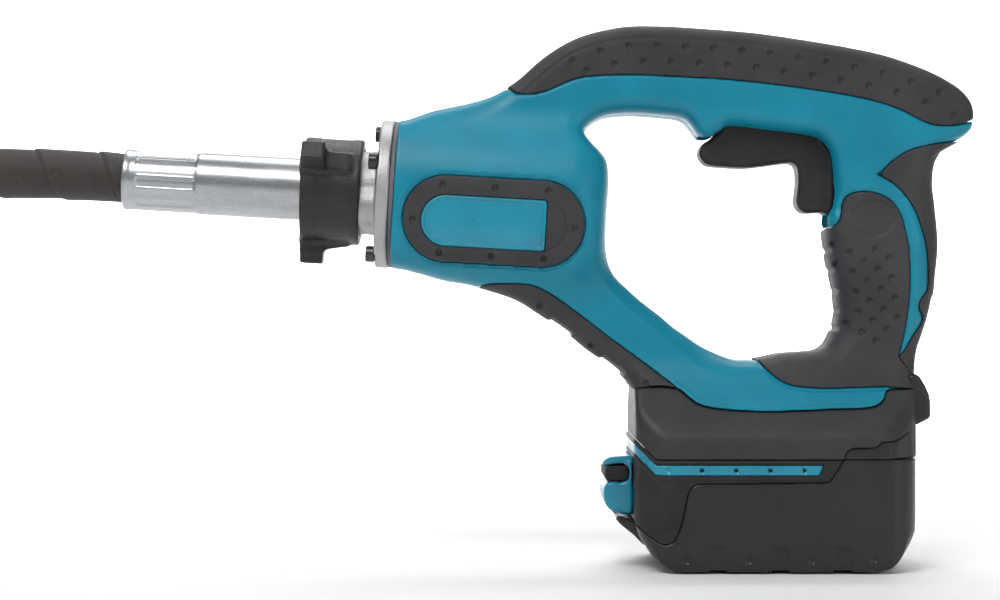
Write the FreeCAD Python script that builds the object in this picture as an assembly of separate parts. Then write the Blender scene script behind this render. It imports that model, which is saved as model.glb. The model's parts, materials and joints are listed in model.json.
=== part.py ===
"""Cordless concrete vibrator: D-handle drive unit, slide-on battery and flexible needle.

Millimetres.  The origin is on the battery's underside, at the middle of the drive unit's box.
+X runs from the needle end towards the rear grip, +Y to the operator's right, +Z up.
"""
import FreeCAD, Part
import math
import os

V = FreeCAD.Vector

# ---------------------------------------------------------------- driving dimensions
DRIVE_TILT = math.radians(3.26)          # the drive axis falls towards the rear grip
DRIVE_ORIGIN = V(-64.7, 0, 155.8)        # on the drive axis, at the flange's rear face
FLANGE_RADIUS = 31.35
FLANGE_THICKNESS = 7.6
GASKET_THICKNESS = 2.0
BADGE_AT = (41.7, -9.8)                  # along the drive axis and above it
BADGE_HALF_LENGTH = 36.6
BADGE_HALF_HEIGHT = 17.6
BADGE_RING_WIDTH = 7.2
BADGE_GAP = 0.2                          # between the ring and its plate
NECK_RADIUS = 17.7
NECK_FRONT = -15.7
FERRULE_RADIUS = 13.2
FERRULE_MOUTH = -115.2
COLLAR_RADIUS = 22.25
COLLAR_SPAN = (-39.3, -14.8)
LUG_TIP_RADIUS = 31.1
BARREL_WALL = 3.3
MOTOR_RADIUS = 23.0
SHAFT_RADIUS = 2.5

BODY_HALF_WIDTH = 18.0                   # handle, strut and grip
BODY_ROUNDING = 9.0
WALL = 3.4
RUBBER_DEPTH = 2.0

BASE_HALF_WIDTH = 38.5
BASE_TOP = 65.0
BASE_BOTTOM = 46.4
BASE_SPAN = (34.4, 157.0)
BATTERY_HALF_WIDTH = 37.5
BATTERY_SPAN = (34.0, 148.0)
BATTERY_TOP = 46.1
BATTERY_WALL = 2.2
CASE_PARTING = 31.0

HOSE_RADIUS = 10.5
HEAD_RADIUS = 13.0
TRIGGER_PIVOT = V(68.8, 0, 182.8)
PIN_RADIUS = 2.0
CLEARANCE = 0.3

# The body's side outline, clockwise from the front of the barrel's top, as (x, z).
BODY_OUTLINE = [
    (-50, 182), (-45, 192.2), (-24, 198.6), (-9, 209), (1, 216.7), (16, 224.2), (38, 227.8),
    (70, 226.3), (103, 222.6), (135, 216.8), (157, 210), (171, 203), (178.8, 194.5),
    (179.2, 184), (171.5, 177), (164.4, 170), (162.8, 160), (165, 138), (162.4, 109.5),
    (157, 92), (155, 78), (150, 60), (130, 55), (60, 55), (38, 62), (31.5, 77.7),
    (11, 93.4), (-9.2, 107.8), (-29.5, 115.9), (-48, 120.3), (-54, 132), (-54, 165)]
# The D-shaped hand opening, in the same order.
OPENING_OUTLINE = [
    (14.8, 181), (21, 186.6), (36, 188.4), (53, 186.8), (61, 181.4), (66, 179.2), (72, 182.2),
    (84, 184.2), (108, 181), (118, 172), (118.6, 150), (116.2, 130), (119.4, 110),
    (116.5, 95.5), (106, 89.6), (84, 87.2), (67, 91), (47.2, 105.3), (29.5, 120.5),
    (23.8, 134), (24.6, 156), (21.3, 173)]

# The hose's route: from inside the ferrule, down to the floor and round to the vibrating head.
HOSE_ROUTE = [
    (-171.5, 0, 161.9), (-226, 0, 164.8), (-286, 0, 155), (-340, -1, 122), (-384, -4, 76),
    (-429, -13, 34), (-477, -38, 10.5), (-514, -82, 10.5), (-523, -141, 10.5),
    (-498, -194, 10.5), (-449, -226, 13), (-390, -226, 13)]

# ---------------------------------------------------------------- shared shape helpers
DRIVE_ALONG = V(math.cos(DRIVE_TILT), 0, -math.sin(DRIVE_TILT))
DRIVE_UP = V(math.sin(DRIVE_TILT), 0, math.cos(DRIVE_TILT))
DRIVE_SIDE = V(0, -1, 0)
# A quarter-round edge as shares of its radius: in from the face, and in from the outline.
ROUNDING_STEPS = [(0.0, 0.62), (0.13, 0.32), (0.45, 0.08), (0.95, 0.0)]


def on_drive(along, radius=0.0, degrees=0.0):
    """A point by distance along the drive axis, radius and angle (0 is -Y, 90 is up)."""
    turn = math.radians(degrees)
    outward = DRIVE_SIDE * math.cos(turn) + DRIVE_UP * math.sin(turn)
    return DRIVE_ORIGIN + DRIVE_ALONG * along + outward * radius


def turned(profile, origin=DRIVE_ORIGIN, along=DRIVE_ALONG, up=DRIVE_UP):
    """Revolve a closed profile of (distance along, radius) about an axis."""
    points = [origin + along * s + up * r for s, r in profile]
    face = Part.Face(Part.makePolygon(points + points[:1]))
    return face.revolve(origin, along, 360)


def disc(start, end, radius, bore=0.0, origin=DRIVE_ORIGIN, along=DRIVE_ALONG):
    """A cylinder, or a ring when it has a bore, between two places on an axis."""
    base = origin + along * start
    solid = Part.makeCylinder(radius, end - start, base, along)
    if bore:
        solid = solid.cut(Part.makeCylinder(bore, end - start, base, along))
    return solid


def box(x, y, z):
    """A box from (low, high) pairs."""
    return Part.makeBox(x[1] - x[0], y[1] - y[0], z[1] - z[0], V(x[0], y[0], z[0]))


def mirrored(solid):
    return solid.mirror(V(0, 0, 0), V(0, 1, 0))


def fused(solids):
    return solids[0].multiFuse(solids[1:])


def largest(shape):
    return max(shape.Solids, key=lambda solid: solid.Volume)


def group(solids):
    """Several separate solids as one shape."""
    return Part.makeCompound(solids)


def drive_box(along, side, up):
    """A box in the drive axis's own directions, from (low, high) pairs."""
    solid = box(along, side, up)
    solid.rotate(V(0, 0, 0), V(0, 1, 0), math.degrees(DRIVE_TILT))
    solid.translate(DRIVE_ORIGIN)
    return solid


def spun(solid, degrees, origin=DRIVE_ORIGIN, along=DRIVE_ALONG):
    """A copy of a solid turned about an axis."""
    copy = solid.copy()
    copy.rotate(origin, along, degrees)
    return copy


def side_prism(outline, half_width, start=None):
    """A side-view polygon of (x, z) given thickness across Y."""
    low = -half_width if start is None else start
    points = [V(x, low, z) for x, z in outline]
    face = Part.Face(Part.makePolygon(points + points[:1]))
    return face.extrude(V(0, half_width - low, 0))


def closed_curve(outline, inset, y):
    """A smooth closed curve through an outline, moved inwards by inset."""
    pairs = zip(outline, outline[1:] + outline[:1])
    area = sum(a[0] * b[1] - b[0] * a[1] for a, b in pairs)
    hand = 1 if area > 0 else -1
    points = []
    for i, (x, z) in enumerate(outline):
        before = outline[i - 1]
        after = outline[(i + 1) % len(outline)]
        tangent = V(after[0] - before[0], 0, after[1] - before[1]).normalize()
        points.append(V(x, y, z) + V(-tangent.z, 0, tangent.x) * hand * inset)
    curve = Part.BSplineCurve()
    curve.interpolate(Points=points, PeriodicFlag=True)
    return Part.Wire(curve.toShape())


def pillow(outline, half_width, rounding, inset):
    """An outline given thickness across Y, its two edges rounded by stepped insets."""
    near = [(-half_width + rounding * f, inset + rounding * g) for f, g in ROUNDING_STEPS]
    levels = near + [(-y, i) for y, i in reversed(near)]
    return Part.makeLoft([closed_curve(outline, i, y) for y, i in levels], True, True)


def rounded_box(x, half_width, z, radius):
    """An upright box with rounded vertical edges."""
    solid = box(x, (-half_width, half_width), z)
    upright = [e for e in solid.Edges if abs(e.tangentAt(0).z) > 0.99]
    return solid.makeFillet(radius, upright)


def rounded_rectangle(x, half_width, radius, z):
    solid = rounded_box(x, half_width, (z, z + 1), radius)
    lowest = min(solid.Faces, key=lambda f: f.CenterOfMass.z)
    return lowest.OuterWire


def tube_along(points, radius, report=None):
    """A round tube on straight runs joined by the largest tangent arcs that they allow."""
    route = [V(*p) for p in points]
    edges = []
    here = route[0]
    length = 0.0
    for before, corner, after in zip(route, route[1:], route[2:]):
        back = (before - corner).normalize()
        on = (after - corner).normalize()
        shorter = min((before - corner).Length, (after - corner).Length)
        reach = 0.45 * shorter
        half_turn = (math.pi - back.getAngle(on)) / 2
        bend = reach / math.tan(half_turn)
        arc_start = corner + back * reach
        arc_end = corner + on * reach
        middle_way = (back + on).normalize()
        middle = corner + middle_way * (bend / math.cos(half_turn) - bend)
        edges.append(Part.LineSegment(here, arc_start).toShape())
        edges.append(Part.Arc(arc_start, middle, arc_end).toShape())
        length += (arc_start - here).Length + 2 * bend * half_turn
        here = arc_end
        if report:
            print(report, "bend radius", round(bend, 1))
    edges.append(Part.LineSegment(here, route[-1]).toShape())
    length += (route[-1] - here).Length
    path = Part.Wire(edges)
    start_way = (route[1] - route[0]).normalize()
    section = Part.Wire(Part.makeCircle(radius, route[0], start_way))
    solid = path.makePipeShell([section], True, False)
    if report:
        expected = math.pi * radius ** 2 * length
        print(report, "length", round(length, 1), "volume over section x length",
              round(solid.Volume / expected, 4))
    return solid


def coil_spring(foot, radius, wire, pitch, height):
    """A round-wire compression spring standing on foot."""
    helix = Part.makeHelix(pitch, height, radius)
    section = Part.Wire(Part.makeCircle(wire, V(radius, 0, 0), V(0, 1, 0)))
    solid = Part.Wire(helix.Edges).makePipeShell([section], True, True)
    solid.translate(foot)
    return solid


# ---------------------------------------------------------------- the clamshell and its rubber
def opening_cutter(depth):
    """The hand opening, flared at both faces, grown outwards by depth."""
    near = [(-BODY_HALF_WIDTH + BODY_ROUNDING * f, -depth - BODY_ROUNDING * g)
            for f, g in ROUNDING_STEPS]
    levels = near + [(-y, i) for y, i in reversed(near)]
    levels = [(-50.0, levels[0][1])] + levels + [(50.0, levels[0][1])]
    return Part.makeLoft([closed_curve(OPENING_OUTLINE, i, y) for y, i in levels], True, True)


def barrel(depth):
    """The motor barrel, shrunk by depth, with a domed rear."""
    r = FLANGE_RADIUS - depth
    return turned([(0, 0), (0, r), (74 - depth, r), (80 - depth, r - 1.6),
                   (84.5 - depth, r - 5.5), (87 - depth, r - 11), (87 - depth, 0)])


def foot(depth):
    """The flare from the strut and grip down to the base."""
    x0, x1 = BASE_SPAN
    low = rounded_rectangle((x0 + depth, x1 - depth), BASE_HALF_WIDTH - depth, 9, BASE_TOP - 0.5)
    middle = rounded_rectangle((x0 + 7 + depth, x1 - 2 - depth), 31 - depth, 9, BASE_TOP + 8)
    high = rounded_rectangle((x0 + 22 + depth, x1 - 6 - depth), 18 - depth, 9, BASE_TOP + 21)
    return Part.makeLoft([low, middle, high], True, True)


def body_form(depth):
    """The drive unit's outer form, shrunk by depth."""
    slab = pillow(BODY_OUTLINE, BODY_HALF_WIDTH - depth, BODY_ROUNDING - depth * 0.8, depth)
    form = slab.fuse(barrel(depth)).fuse(foot(depth)).cut(opening_cutter(depth))
    keep = box((-90, 200), (-60, 60), (BASE_TOP, 240))
    front = box((-40, 0.0), (-60, 60), (-200, 200))
    front.rotate(V(0, 0, 0), V(0, 1, 0), math.degrees(DRIVE_TILT))
    front.translate(DRIVE_ORIGIN)
    return form.common(keep).cut(front)


# Side-view regions of the moulded-on rubber, as (x, z).
TOP_GRIP_REGION = [
    (-17, 203), (-14, 198.5), (-8, 198), (4, 202), (17, 205), (38, 206.4), (72, 205),
    (103, 201), (135, 196), (152, 190), (163, 185.5), (170, 184.8), (179, 187), (190, 190),
    (190, 240), (-30, 240)]
STRUT_REGION = [
    (-30, 117), (-22, 118), (-3, 117.6), (12, 106), (30, 91), (44, 80), (52, 70), (52, 50),
    (20, 60), (-30, 100)]
REAR_GRIP_REGION = [
    (148, 166), (156, 172), (166, 176.5), (182, 183), (182, 150), (190, 100), (158, 66),
    (152, 70), (157, 92), (156, 110), (158, 140), (156, 156)]
SIDE_GRIP_REGION = [
    (125.5, 155), (131, 157), (143, 153.5), (149, 143), (151, 128), (150, 108), (146, 92),
    (152, 78), (140, 73.5), (100, 73.5), (92, 78), (88, 86), (100, 89), (112, 91),
    (115.5, 96), (118, 108), (114, 128), (113.5, 141)]
RUBBER_REGIONS = {
    "top_grip_rubber": TOP_GRIP_REGION,
    "strut_rubber": STRUT_REGION,
    "rear_grip_rubber": REAR_GRIP_REGION,
    "side_grip_rubber": SIDE_GRIP_REGION,
}
# Screw towers of the clamshell: (x, z) of each one.
TOWERS = [(-2, 200), (36, 207), (140, 201), (140, 122), (4, 105), (60, 79)]
TOWER_RADIUS = 3.6
SCREW_RADIUS = 1.45
SCREW_HEAD_RADIUS = 2.9
SCREW_HEAD_Y = (11.5, 14.0)
FLANGE_SCREW_ANGLES = [29, 119, 209, 299]
FLANGE_SCREW_CIRCLE = 28.6

TRIGGER_OUTLINE = [
    (62.7, 172.6), (65.4, 168.4), (82, 166.7), (96.3, 168.4), (103.3, 168.8), (104.2, 160),
    (103.5, 152.7), (105.2, 148.9), (108.2, 147.6), (116.7, 146.8), (119.2, 149.5),
    (120, 157), (119.2, 173.5), (112.6, 183.5), (104, 187.6), (74, 189), (66, 188)]
TRIGGER_HALF_WIDTH = 8.0
TRIGGER_SLOT = [
    (60.2, 180.6), (60.5, 164), (84, 163), (101.5, 165), (101.5, 140), (122, 140),
    (125, 150), (124.6, 176), (117.6, 192), (62, 193)]


def trigger_slot():
    return side_prism(TRIGGER_SLOT, TRIGGER_HALF_WIDTH + 0.8)


def screw_holes():
    """Every tower's screw hole and head recess, opened to the right-hand side."""
    holes = []
    for x, z in TOWERS:
        holes.append(Part.makeCylinder(SCREW_RADIUS + 0.05, 22, V(x, -8, z), V(0, 1, 0)))
        low = SCREW_HEAD_Y[0]
        holes.append(Part.makeCylinder(SCREW_HEAD_RADIUS + 0.3, 30, V(x, low, z), V(0, 1, 0)))
    return holes


def clamshell():
    """The two housing halves and the rubber bonded onto them."""
    outer = body_form(0.0)
    bed = body_form(RUBBER_DEPTH)
    hollow = body_form(WALL)
    mouth = foot(WALL).common(box((0, 200), (-60, 60), (BASE_TOP - 1, BASE_TOP + 8)))
    skin = outer.cut(bed)
    openings = [trigger_slot()] + screw_holes()
    rubber = {name: skin.common(side_prism(region, 60)).cut(openings[0])
              for name, region in RUBBER_REGIONS.items()}
    shell = outer.cut(hollow).cut(mouth)
    for name in rubber:
        shell = shell.cut(side_prism(RUBBER_REGIONS[name], 60).common(skin))
    motor_mouth = disc(-1, 8, FLANGE_RADIUS - BARREL_WALL)
    shell = shell.cut(motor_mouth)
    towers = []
    for x, z in TOWERS:
        rod = Part.makeCylinder(TOWER_RADIUS, 2 * BODY_HALF_WIDTH, V(x, -BODY_HALF_WIDTH, z),
                                V(0, 1, 0))
        towers += rod.common(bed).Solids
    for side in (-1, 1):
        low = TRIGGER_HALF_WIDTH + 0.8
        rod = Part.makeCylinder(4.2, 8, TRIGGER_PIVOT + V(0, side * low, 0), V(0, side, 0))
        towers += rod.common(bed).Solids
    motor_rib = disc(56, 59, FLANGE_RADIUS - BARREL_WALL + 0.5, MOTOR_RADIUS + 0.1)
    shell = fused([shell] + towers + [motor_rib])
    pin_hole = Part.makeCylinder(PIN_RADIUS + 0.02, 30, TRIGGER_PIVOT - V(0, 15, 0), V(0, 1, 0))
    shell = shell.cut(pin_hole)
    for cutter in openings:
        shell = shell.cut(cutter)
    for angle in FLANGE_SCREW_ANGLES:
        start = on_drive(-1, FLANGE_SCREW_CIRCLE, angle)
        shell = shell.cut(Part.makeCylinder(2.0, 13, start, DRIVE_ALONG))
    for cutter in openings[1:]:
        rubber = {name: solid.cut(cutter) for name, solid in rubber.items()}
    left = box((-200, 250), (-60, 0), (0, 250))
    side_grips = rubber.pop("side_grip_rubber")
    pieces = {
        "housing_left": shell.common(left),
        "housing_right": shell.cut(left),
        "side_grip_rubber_left": side_grips.common(left),
        "side_grip_rubber_right": side_grips.cut(left),
        **rubber,
    }
    return {name: largest(solid) for name, solid in pieces.items()}


def housing_screws():
    """Pan-head screws that pull the right half onto the left one."""
    screws = []
    for x, z in TOWERS:
        shank = Part.makeCylinder(SCREW_RADIUS, 19.4, V(x, -7.9, z), V(0, 1, 0))
        low, high = SCREW_HEAD_Y
        head = Part.makeCylinder(SCREW_HEAD_RADIUS, high - low, V(x, low, z), V(0, 1, 0))
        recess = box((x - 0.4, x + 0.4), (high - 0.8, high + 1), (z - 2, z + 2))
        cross = box((x - 2, x + 2), (high - 0.8, high + 1), (z - 0.4, z + 0.4))
        screws.append(shank.fuse(head).cut(recess).cut(cross))
    return group(screws)


def badges():
    """A raised rubber ring and a plain plate on each side of the barrel."""
    straight = BADGE_HALF_LENGTH - BADGE_HALF_HEIGHT
    ends = (BADGE_AT[0] - straight, BADGE_AT[0] + straight)

    def stadium(inset):
        radius = BADGE_HALF_HEIGHT - inset
        block = drive_box(ends, (-40, 0), (BADGE_AT[1] - radius, BADGE_AT[1] + radius))
        caps = [Part.makeCylinder(radius, 40, on_drive(at, BADGE_AT[1], 90), V(0, -1, 0))
                for at in ends]
        return fused([block] + caps)

    ring_skin = disc(-1, 82, FLANGE_RADIUS + 1.3, FLANGE_RADIUS + 0.05)
    plate_skin = disc(-1, 82, FLANGE_RADIUS + 0.8, FLANGE_RADIUS + 0.05)
    ring = ring_skin.common(stadium(0).cut(stadium(BADGE_RING_WIDTH)))
    # The strut's root stands proud of the barrel, so the ring stops where they meet.
    ring = largest(ring.cut(body_form(0.0)))
    plate = plate_skin.common(stadium(BADGE_RING_WIDTH + BADGE_GAP))
    return {"badge_ring_left": ring, "badge_ring_right": mirrored(ring),
            "badge_plate_left": plate, "badge_plate_right": mirrored(plate)}


# ---------------------------------------------------------------- front end
LIP_SPAN = (-19.9, -15.8)
TAIL_RADIUS = 11.0
TAIL_END = -8.6
SEAL_AT = -12.0
FLEX_RADIUS = 4.0
BEARING_RADIUS = 11.0
BEARING_SPAN = (-1.5, 5.5)


def front_flange():
    """Cast neck, flange and spigot with the front bearing's seat."""
    seat = BEARING_RADIUS + 0.02
    solid = turned([
        (NECK_FRONT, TAIL_RADIUS + 0.1), (NECK_FRONT, NECK_RADIUS - 0.6),
        (NECK_FRONT + 0.6, NECK_RADIUS), (-FLANGE_THICKNESS, NECK_RADIUS),
        (-FLANGE_THICKNESS, FLANGE_RADIUS - 0.8), (0.8 - FLANGE_THICKNESS, FLANGE_RADIUS),
        (-GASKET_THICKNESS, FLANGE_RADIUS), (-GASKET_THICKNESS, 27.8), (6, 27.8),
        (6, seat), (BEARING_SPAN[0], seat), (BEARING_SPAN[0], 9), (-8, 9),
        (-8, TAIL_RADIUS + 0.1)])
    for angle in FLANGE_SCREW_ANGLES:
        start = on_drive(-9, FLANGE_SCREW_CIRCLE, angle)
        solid = solid.cut(Part.makeCylinder(2.05, 17, start, DRIVE_ALONG))
    for pin in pin_cylinders(2.21):
        solid = solid.cut(pin)
    return solid


def pin_cylinders(radius):
    """Two radial pins on the neck, opposite each other."""
    pins = []
    for angle in (-29, 151):
        outward = on_drive(-11.9, 1, angle) - on_drive(-11.9)
        pins.append(Part.makeCylinder(radius, 4.6, on_drive(-11.9, 15.0, angle), outward))
    return pins


def flange_gasket():
    solid = disc(-GASKET_THICKNESS, 0, FLANGE_RADIUS - 0.25, 27.9)
    for angle in FLANGE_SCREW_ANGLES:
        start = on_drive(-9, FLANGE_SCREW_CIRCLE, angle)
        solid = solid.cut(Part.makeCylinder(2.05, 17, start, DRIVE_ALONG))
    return solid


def flange_screws():
    """Socket-head screws that hold the flange to the clamshell."""
    screws = []
    for angle in FLANGE_SCREW_ANGLES:
        start = on_drive(-FLANGE_THICKNESS, FLANGE_SCREW_CIRCLE, angle)
        shank = Part.makeCylinder(1.95, 17.5, start, DRIVE_ALONG)
        head = Part.makeCylinder(3.4, 3.6, start - DRIVE_ALONG * 3.6, DRIVE_ALONG)
        corners = [start - DRIVE_ALONG * 4 + (DRIVE_UP * math.sin(math.radians(a))
                   + DRIVE_SIDE * math.cos(math.radians(a))) * 1.7 for a in range(0, 360, 60)]
        socket = Part.Face(Part.makePolygon(corners + corners[:1])).extrude(DRIVE_ALONG * 2.4)
        screws.append(head.fuse(shank).cut(socket))
    return group(screws)


def ferrule():
    """The needle's plated steel end: crimped mouth, bayonet lip and sealed tail."""
    mouth = FERRULE_MOUTH
    groove = (SEAL_AT - 1, SEAL_AT + 1)
    hose_end = -106.8
    return turned([
        (mouth, HOSE_RADIUS + 0.1), (mouth, 12.3), (mouth + 0.7, 13.0), (mouth + 2.4, 13.0),
        (mouth + 3.2, 12.7), (-85, 12.7), (-84, FERRULE_RADIUS), (LIP_SPAN[0], FERRULE_RADIUS),
        (LIP_SPAN[0], 15), (LIP_SPAN[1], 15), (LIP_SPAN[1], TAIL_RADIUS),
        (groove[0], TAIL_RADIUS), (groove[0], 9.6), (groove[1], 9.6), (groove[1], TAIL_RADIUS),
        (TAIL_END, TAIL_RADIUS), (TAIL_END, 8.2), (-17, 8.2), (-17, FLEX_RADIUS + 1.2),
        (hose_end, FLEX_RADIUS + 1.2), (hose_end, HOSE_RADIUS + 0.1)])


def seal_ring():
    return Part.makeTorus(10.35, 0.68, on_drive(SEAL_AT), DRIVE_ALONG)


def coupling_collar():
    """Bayonet collar with three grip lugs, turned by hand to free the needle."""
    start, end = COLLAR_SPAN
    radius = COLLAR_RADIUS
    body = turned([
        (start, FERRULE_RADIUS + 0.1), (start, radius - 1.2), (start + 1.2, radius),
        (end - 1.0, radius), (end, radius - 1.0), (end, 18.0), (LIP_SPAN[0] - 0.2, 18.0),
        (LIP_SPAN[0] - 0.2, FERRULE_RADIUS + 0.1)])
    lug = drive_box((start, start + 9.7), (-4.35, 4.35), (radius - 3, LUG_TIP_RADIUS))
    ridge = drive_box((start + 9.7, end - 1.5), (-3.2, 3.2), (radius - 3, radius + 1.6))
    grips = []
    for angle in (60, 180, 300):
        grips += [spun(lug, angle), spun(ridge, angle)]
    return fused([body] + grips)


# ---------------------------------------------------------------- motor
CAN_SPAN = (14.0, 66.0)
CORE_SPAN = (22.0, 56.0)
CORE_RADIUS = 16.9
SLOT_CIRCLE = 13.4
SLOT_RADIUS = 2.0
SLOTS = 8
SHAFT_BORE = SHAFT_RADIUS + 0.02


def ball_bearing(start, end, outer, bore, origin=DRIVE_ORIGIN, along=DRIVE_ALONG,
                 up=DRIVE_UP):
    """Two races and a ring of balls between them."""
    ball = (outer - bore) * 0.22
    circle = (outer + bore) / 2
    races = [disc(start, end, outer, circle + ball * 0.7, origin, along),
             disc(start, end, circle - ball * 0.7, bore, origin, along)]
    middle = origin + along * ((start + end) / 2)
    groove = Part.makeTorus(circle, ball + 0.03, middle, along)
    races = [race.cut(groove) for race in races]
    balls = []
    for i in range(7):
        centre = middle + up * circle
        balls.append(spun(Part.makeSphere(ball, centre), i * 360 / 7, origin, along))
    return group(races + balls)


def motor_can():
    front, rear = CAN_SPAN
    r = MOTOR_RADIUS
    return turned([(front, 9), (front, r - 1.5), (front + 1.5, r), (rear, r), (rear, r - 1.2),
                   (front + 1.5, r - 1.2), (front + 1.5, 9)])


def motor_magnets():
    """Two curved magnets inside the can."""
    ring = disc(CORE_SPAN[0] - 2, CORE_SPAN[1] + 2, MOTOR_RADIUS - 1.25, CORE_RADIUS + 0.6)
    gap = drive_box((10, 70), (-7, 7), (-30, 30))
    return group(ring.cut(gap).Solids)


def rotor_core():
    """Slotted stack of laminations."""
    solid = disc(CORE_SPAN[0], CORE_SPAN[1], CORE_RADIUS, SHAFT_BORE)
    for i in range(SLOTS):
        slot = Part.makeCylinder(SLOT_RADIUS, 40, on_drive(20, SLOT_CIRCLE, i * 360 / SLOTS),
                                 DRIVE_ALONG)
        mouth = drive_box((20, 60), (-0.6, 0.6), (SLOT_CIRCLE, CORE_RADIUS + 1))
        solid = solid.cut(slot).cut(spun(mouth, 90 - i * 360 / SLOTS))
    return solid


def rotor_windings():
    """Copper through the slots, bundled at both ends of the stack."""
    rings = [turned([(a, 5), (a, 13.5), ((a + b) / 2, 15.6), (b, 13.5), (b, 5)])
             for a, b in ((18.4, 21.95), (56.05, 59.6))]
    rods = [Part.makeCylinder(SLOT_RADIUS - 0.12, 38, on_drive(20, SLOT_CIRCLE,
                                                              i * 360 / SLOTS), DRIVE_ALONG)
            for i in range(SLOTS)]
    return fused(rings + rods)


def commutator():
    solid = disc(60.5, 66.5, 7.0, SHAFT_BORE)
    for i in range(SLOTS):
        slit = drive_box((60, 67), (-0.2, 0.2), (6.0, 8.0))
        solid = solid.cut(spun(slit, i * 360 / SLOTS + 22.5))
    return solid


def motor_end_bell():
    """Moulded rear cover of the motor with the two brush holders and a bearing seat."""
    seat = 6.52
    bell = turned([(66.8, seat + 2.4), (66.8, 21.7), (70, 21.7), (72, 16), (76, 16), (76, seat),
                   (70.4, seat), (70.4, SHAFT_RADIUS + 1.5), (68.4, SHAFT_RADIUS + 1.5),
                   (68.4, seat + 2.4)])
    channel = drive_box((61.0, 65.6), (-20, 20), (-2.7, 2.7))
    holders = [drive_box((60.0, 66.9), side, (-4, 4)) for side in ((7.6, 15), (-15, -7.6))]
    return fused([bell] + [holder.cut(channel) for holder in holders])


def carbon_brushes():
    brush = drive_box((61.2, 65.4), (7.1, 13.4), (-2.5, 2.5))
    other = spun(brush, 180)
    return group([brush, other])


def motor_shaft():
    return disc(-8, 78, SHAFT_RADIUS)


def fan():
    """Cooling fan with straight blades, behind the front bearing."""
    hub = disc(7.4, 12.4, 6, SHAFT_BORE)
    web = disc(11.2, 12.4, 24, SHAFT_BORE)
    blade = drive_box((7.4, 11.3), (-0.6, 0.6), (5.5, 24))
    return fused([hub, web] + [spun(blade, i * 360 / 11) for i in range(11)])


def drive_coupler():
    """Socket on the motor shaft that takes the flexible shaft's square end."""
    solid = disc(-13.5, -3, 7.5)
    shaft_bore = disc(-8.3, -3, SHAFT_BORE)
    socket = drive_box((-13.5, -8.7), (-3.5, 3.5), (-3.5, 3.5))
    return solid.cut(shaft_bore).cut(socket)


def flex_shaft_end():
    """The flexible drive shaft's end through the ferrule, with its square tip."""
    return fused([disc(-106.4, -14, FLEX_RADIUS),
                  drive_box((-14.5, -9.2), (-3.35, 3.35), (-3.35, 3.35))])


# ---------------------------------------------------------------- trigger and switch
SPRING_AT = (80.0, 189.5)
SWITCH_FLOOR = 197.0
PLUNGER_X = 98.0


def trigger_lever():
    lever = side_prism(TRIGGER_OUTLINE, TRIGGER_HALF_WIDTH)
    along_y = [e for e in lever.Edges if abs(e.tangentAt(0).y) > 0.99]
    finger = [e for e in along_y if e.CenterOfMass.z < 160]
    lever = lever.makeFillet(1.0, finger)
    bore = Part.makeCylinder(PIN_RADIUS + 0.05, 20, TRIGGER_PIVOT - V(0, 10, 0), V(0, 1, 0))
    return lever.cut(bore)


def trigger_pin():
    return Part.makeCylinder(PIN_RADIUS, 28, TRIGGER_PIVOT - V(0, 14, 0), V(0, 1, 0))


def trigger_spring():
    x, z = SPRING_AT
    return coil_spring(V(x, 0, z), 3.0, 0.4, 1.5, 6.3)


def switch_body():
    """Trigger switch, with the plunger's bore in its floor."""
    solid = box((76, 112), (-8, 8), (SWITCH_FLOOR, 211))
    bore = Part.makeCylinder(2.45, 7, V(PLUNGER_X, 0, SWITCH_FLOOR), V(0, 0, 1))
    return solid.cut(bore)


def switch_plunger():
    return Part.makeCylinder(2.4, 10.2, V(PLUNGER_X, 0, 188.6), V(0, 0, 1))


# ---------------------------------------------------------------- base
RAIL_SPAN = (55.0, 146.0)
BLADE_Y = 9.0


def base_housing():
    """Black base with the two rails that the battery slides on."""
    x0, x1 = BASE_SPAN
    outer = rounded_box((x0, x1), BASE_HALF_WIDTH, (BASE_BOTTOM, BASE_TOP), 10)
    inner = rounded_box((x0 + 3, x1 - 3), BASE_HALF_WIDTH - 3, (BASE_BOTTOM + 3, BASE_TOP), 8)
    solid = outer.cut(inner)
    for side in (-1, 1):
        web = box(RAIL_SPAN, sorted((side * 17.5, side * 20.3)), (40.7, BASE_BOTTOM))
        toe = box(RAIL_SPAN, sorted((side * 17.5, side * 23.4)), (40.7, 42.4))
        solid = fused([solid, web, toe])
    window = box((75.7, 86.3), (-14.3, 14.3), (BASE_BOTTOM - 1, BASE_BOTTOM + 4))
    return solid.cut(window)


def rear_bumper():
    solid = box((157.6, 161.6), (-22, 22), (50, 73))
    return solid.makeFillet(1.6, solid.Edges)


def terminal_block():
    """Male blades that meet the battery's clips."""
    block = box((76, 86), (-14, 14), (41, 58))
    blades = [box((58, 76), (y - 0.4, y + 0.4), (41.6, 45.4)) for y in (-BLADE_Y, BLADE_Y)]
    return fused([block] + blades)


# ---------------------------------------------------------------- battery
BATTERY_PROFILE = [
    (34, BATTERY_TOP), (34, 14), (38, 8.5), (46, 2), (53, 0), (134, 0), (141, 2), (146.5, 8),
    (148, 14), (148, BATTERY_TOP)]
TOE_PROFILE = [(34.5, 31), (34.5, 21.4), (28.6, 20.4), (28.6, 17), (33, 12.5), (40, 6),
               (47, 1.2), (60, 1.2), (60, 31)]
BATTERY_END_PROFILE = [
    (-37.5, BATTERY_TOP), (-37.5, 5), (-36.3, 1.5), (-33.5, 0), (33.5, 0), (36.3, 1.5),
    (37.5, 5), (37.5, BATTERY_TOP)]
STRIPE_Z = (40.2, 43.4)
STRIPE_DEPTH = 1.0
CELL_RADIUS = 9.0
CELL_PITCH = 18.6
CELL_ROWS = (11.4, 29.6)
CHANNEL_FLOOR = 40.2
BATTERY_SCREW_PLACES = [(x, y) for x in (41.4, 141.3) for y in (-30.5, 30.5)]


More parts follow.
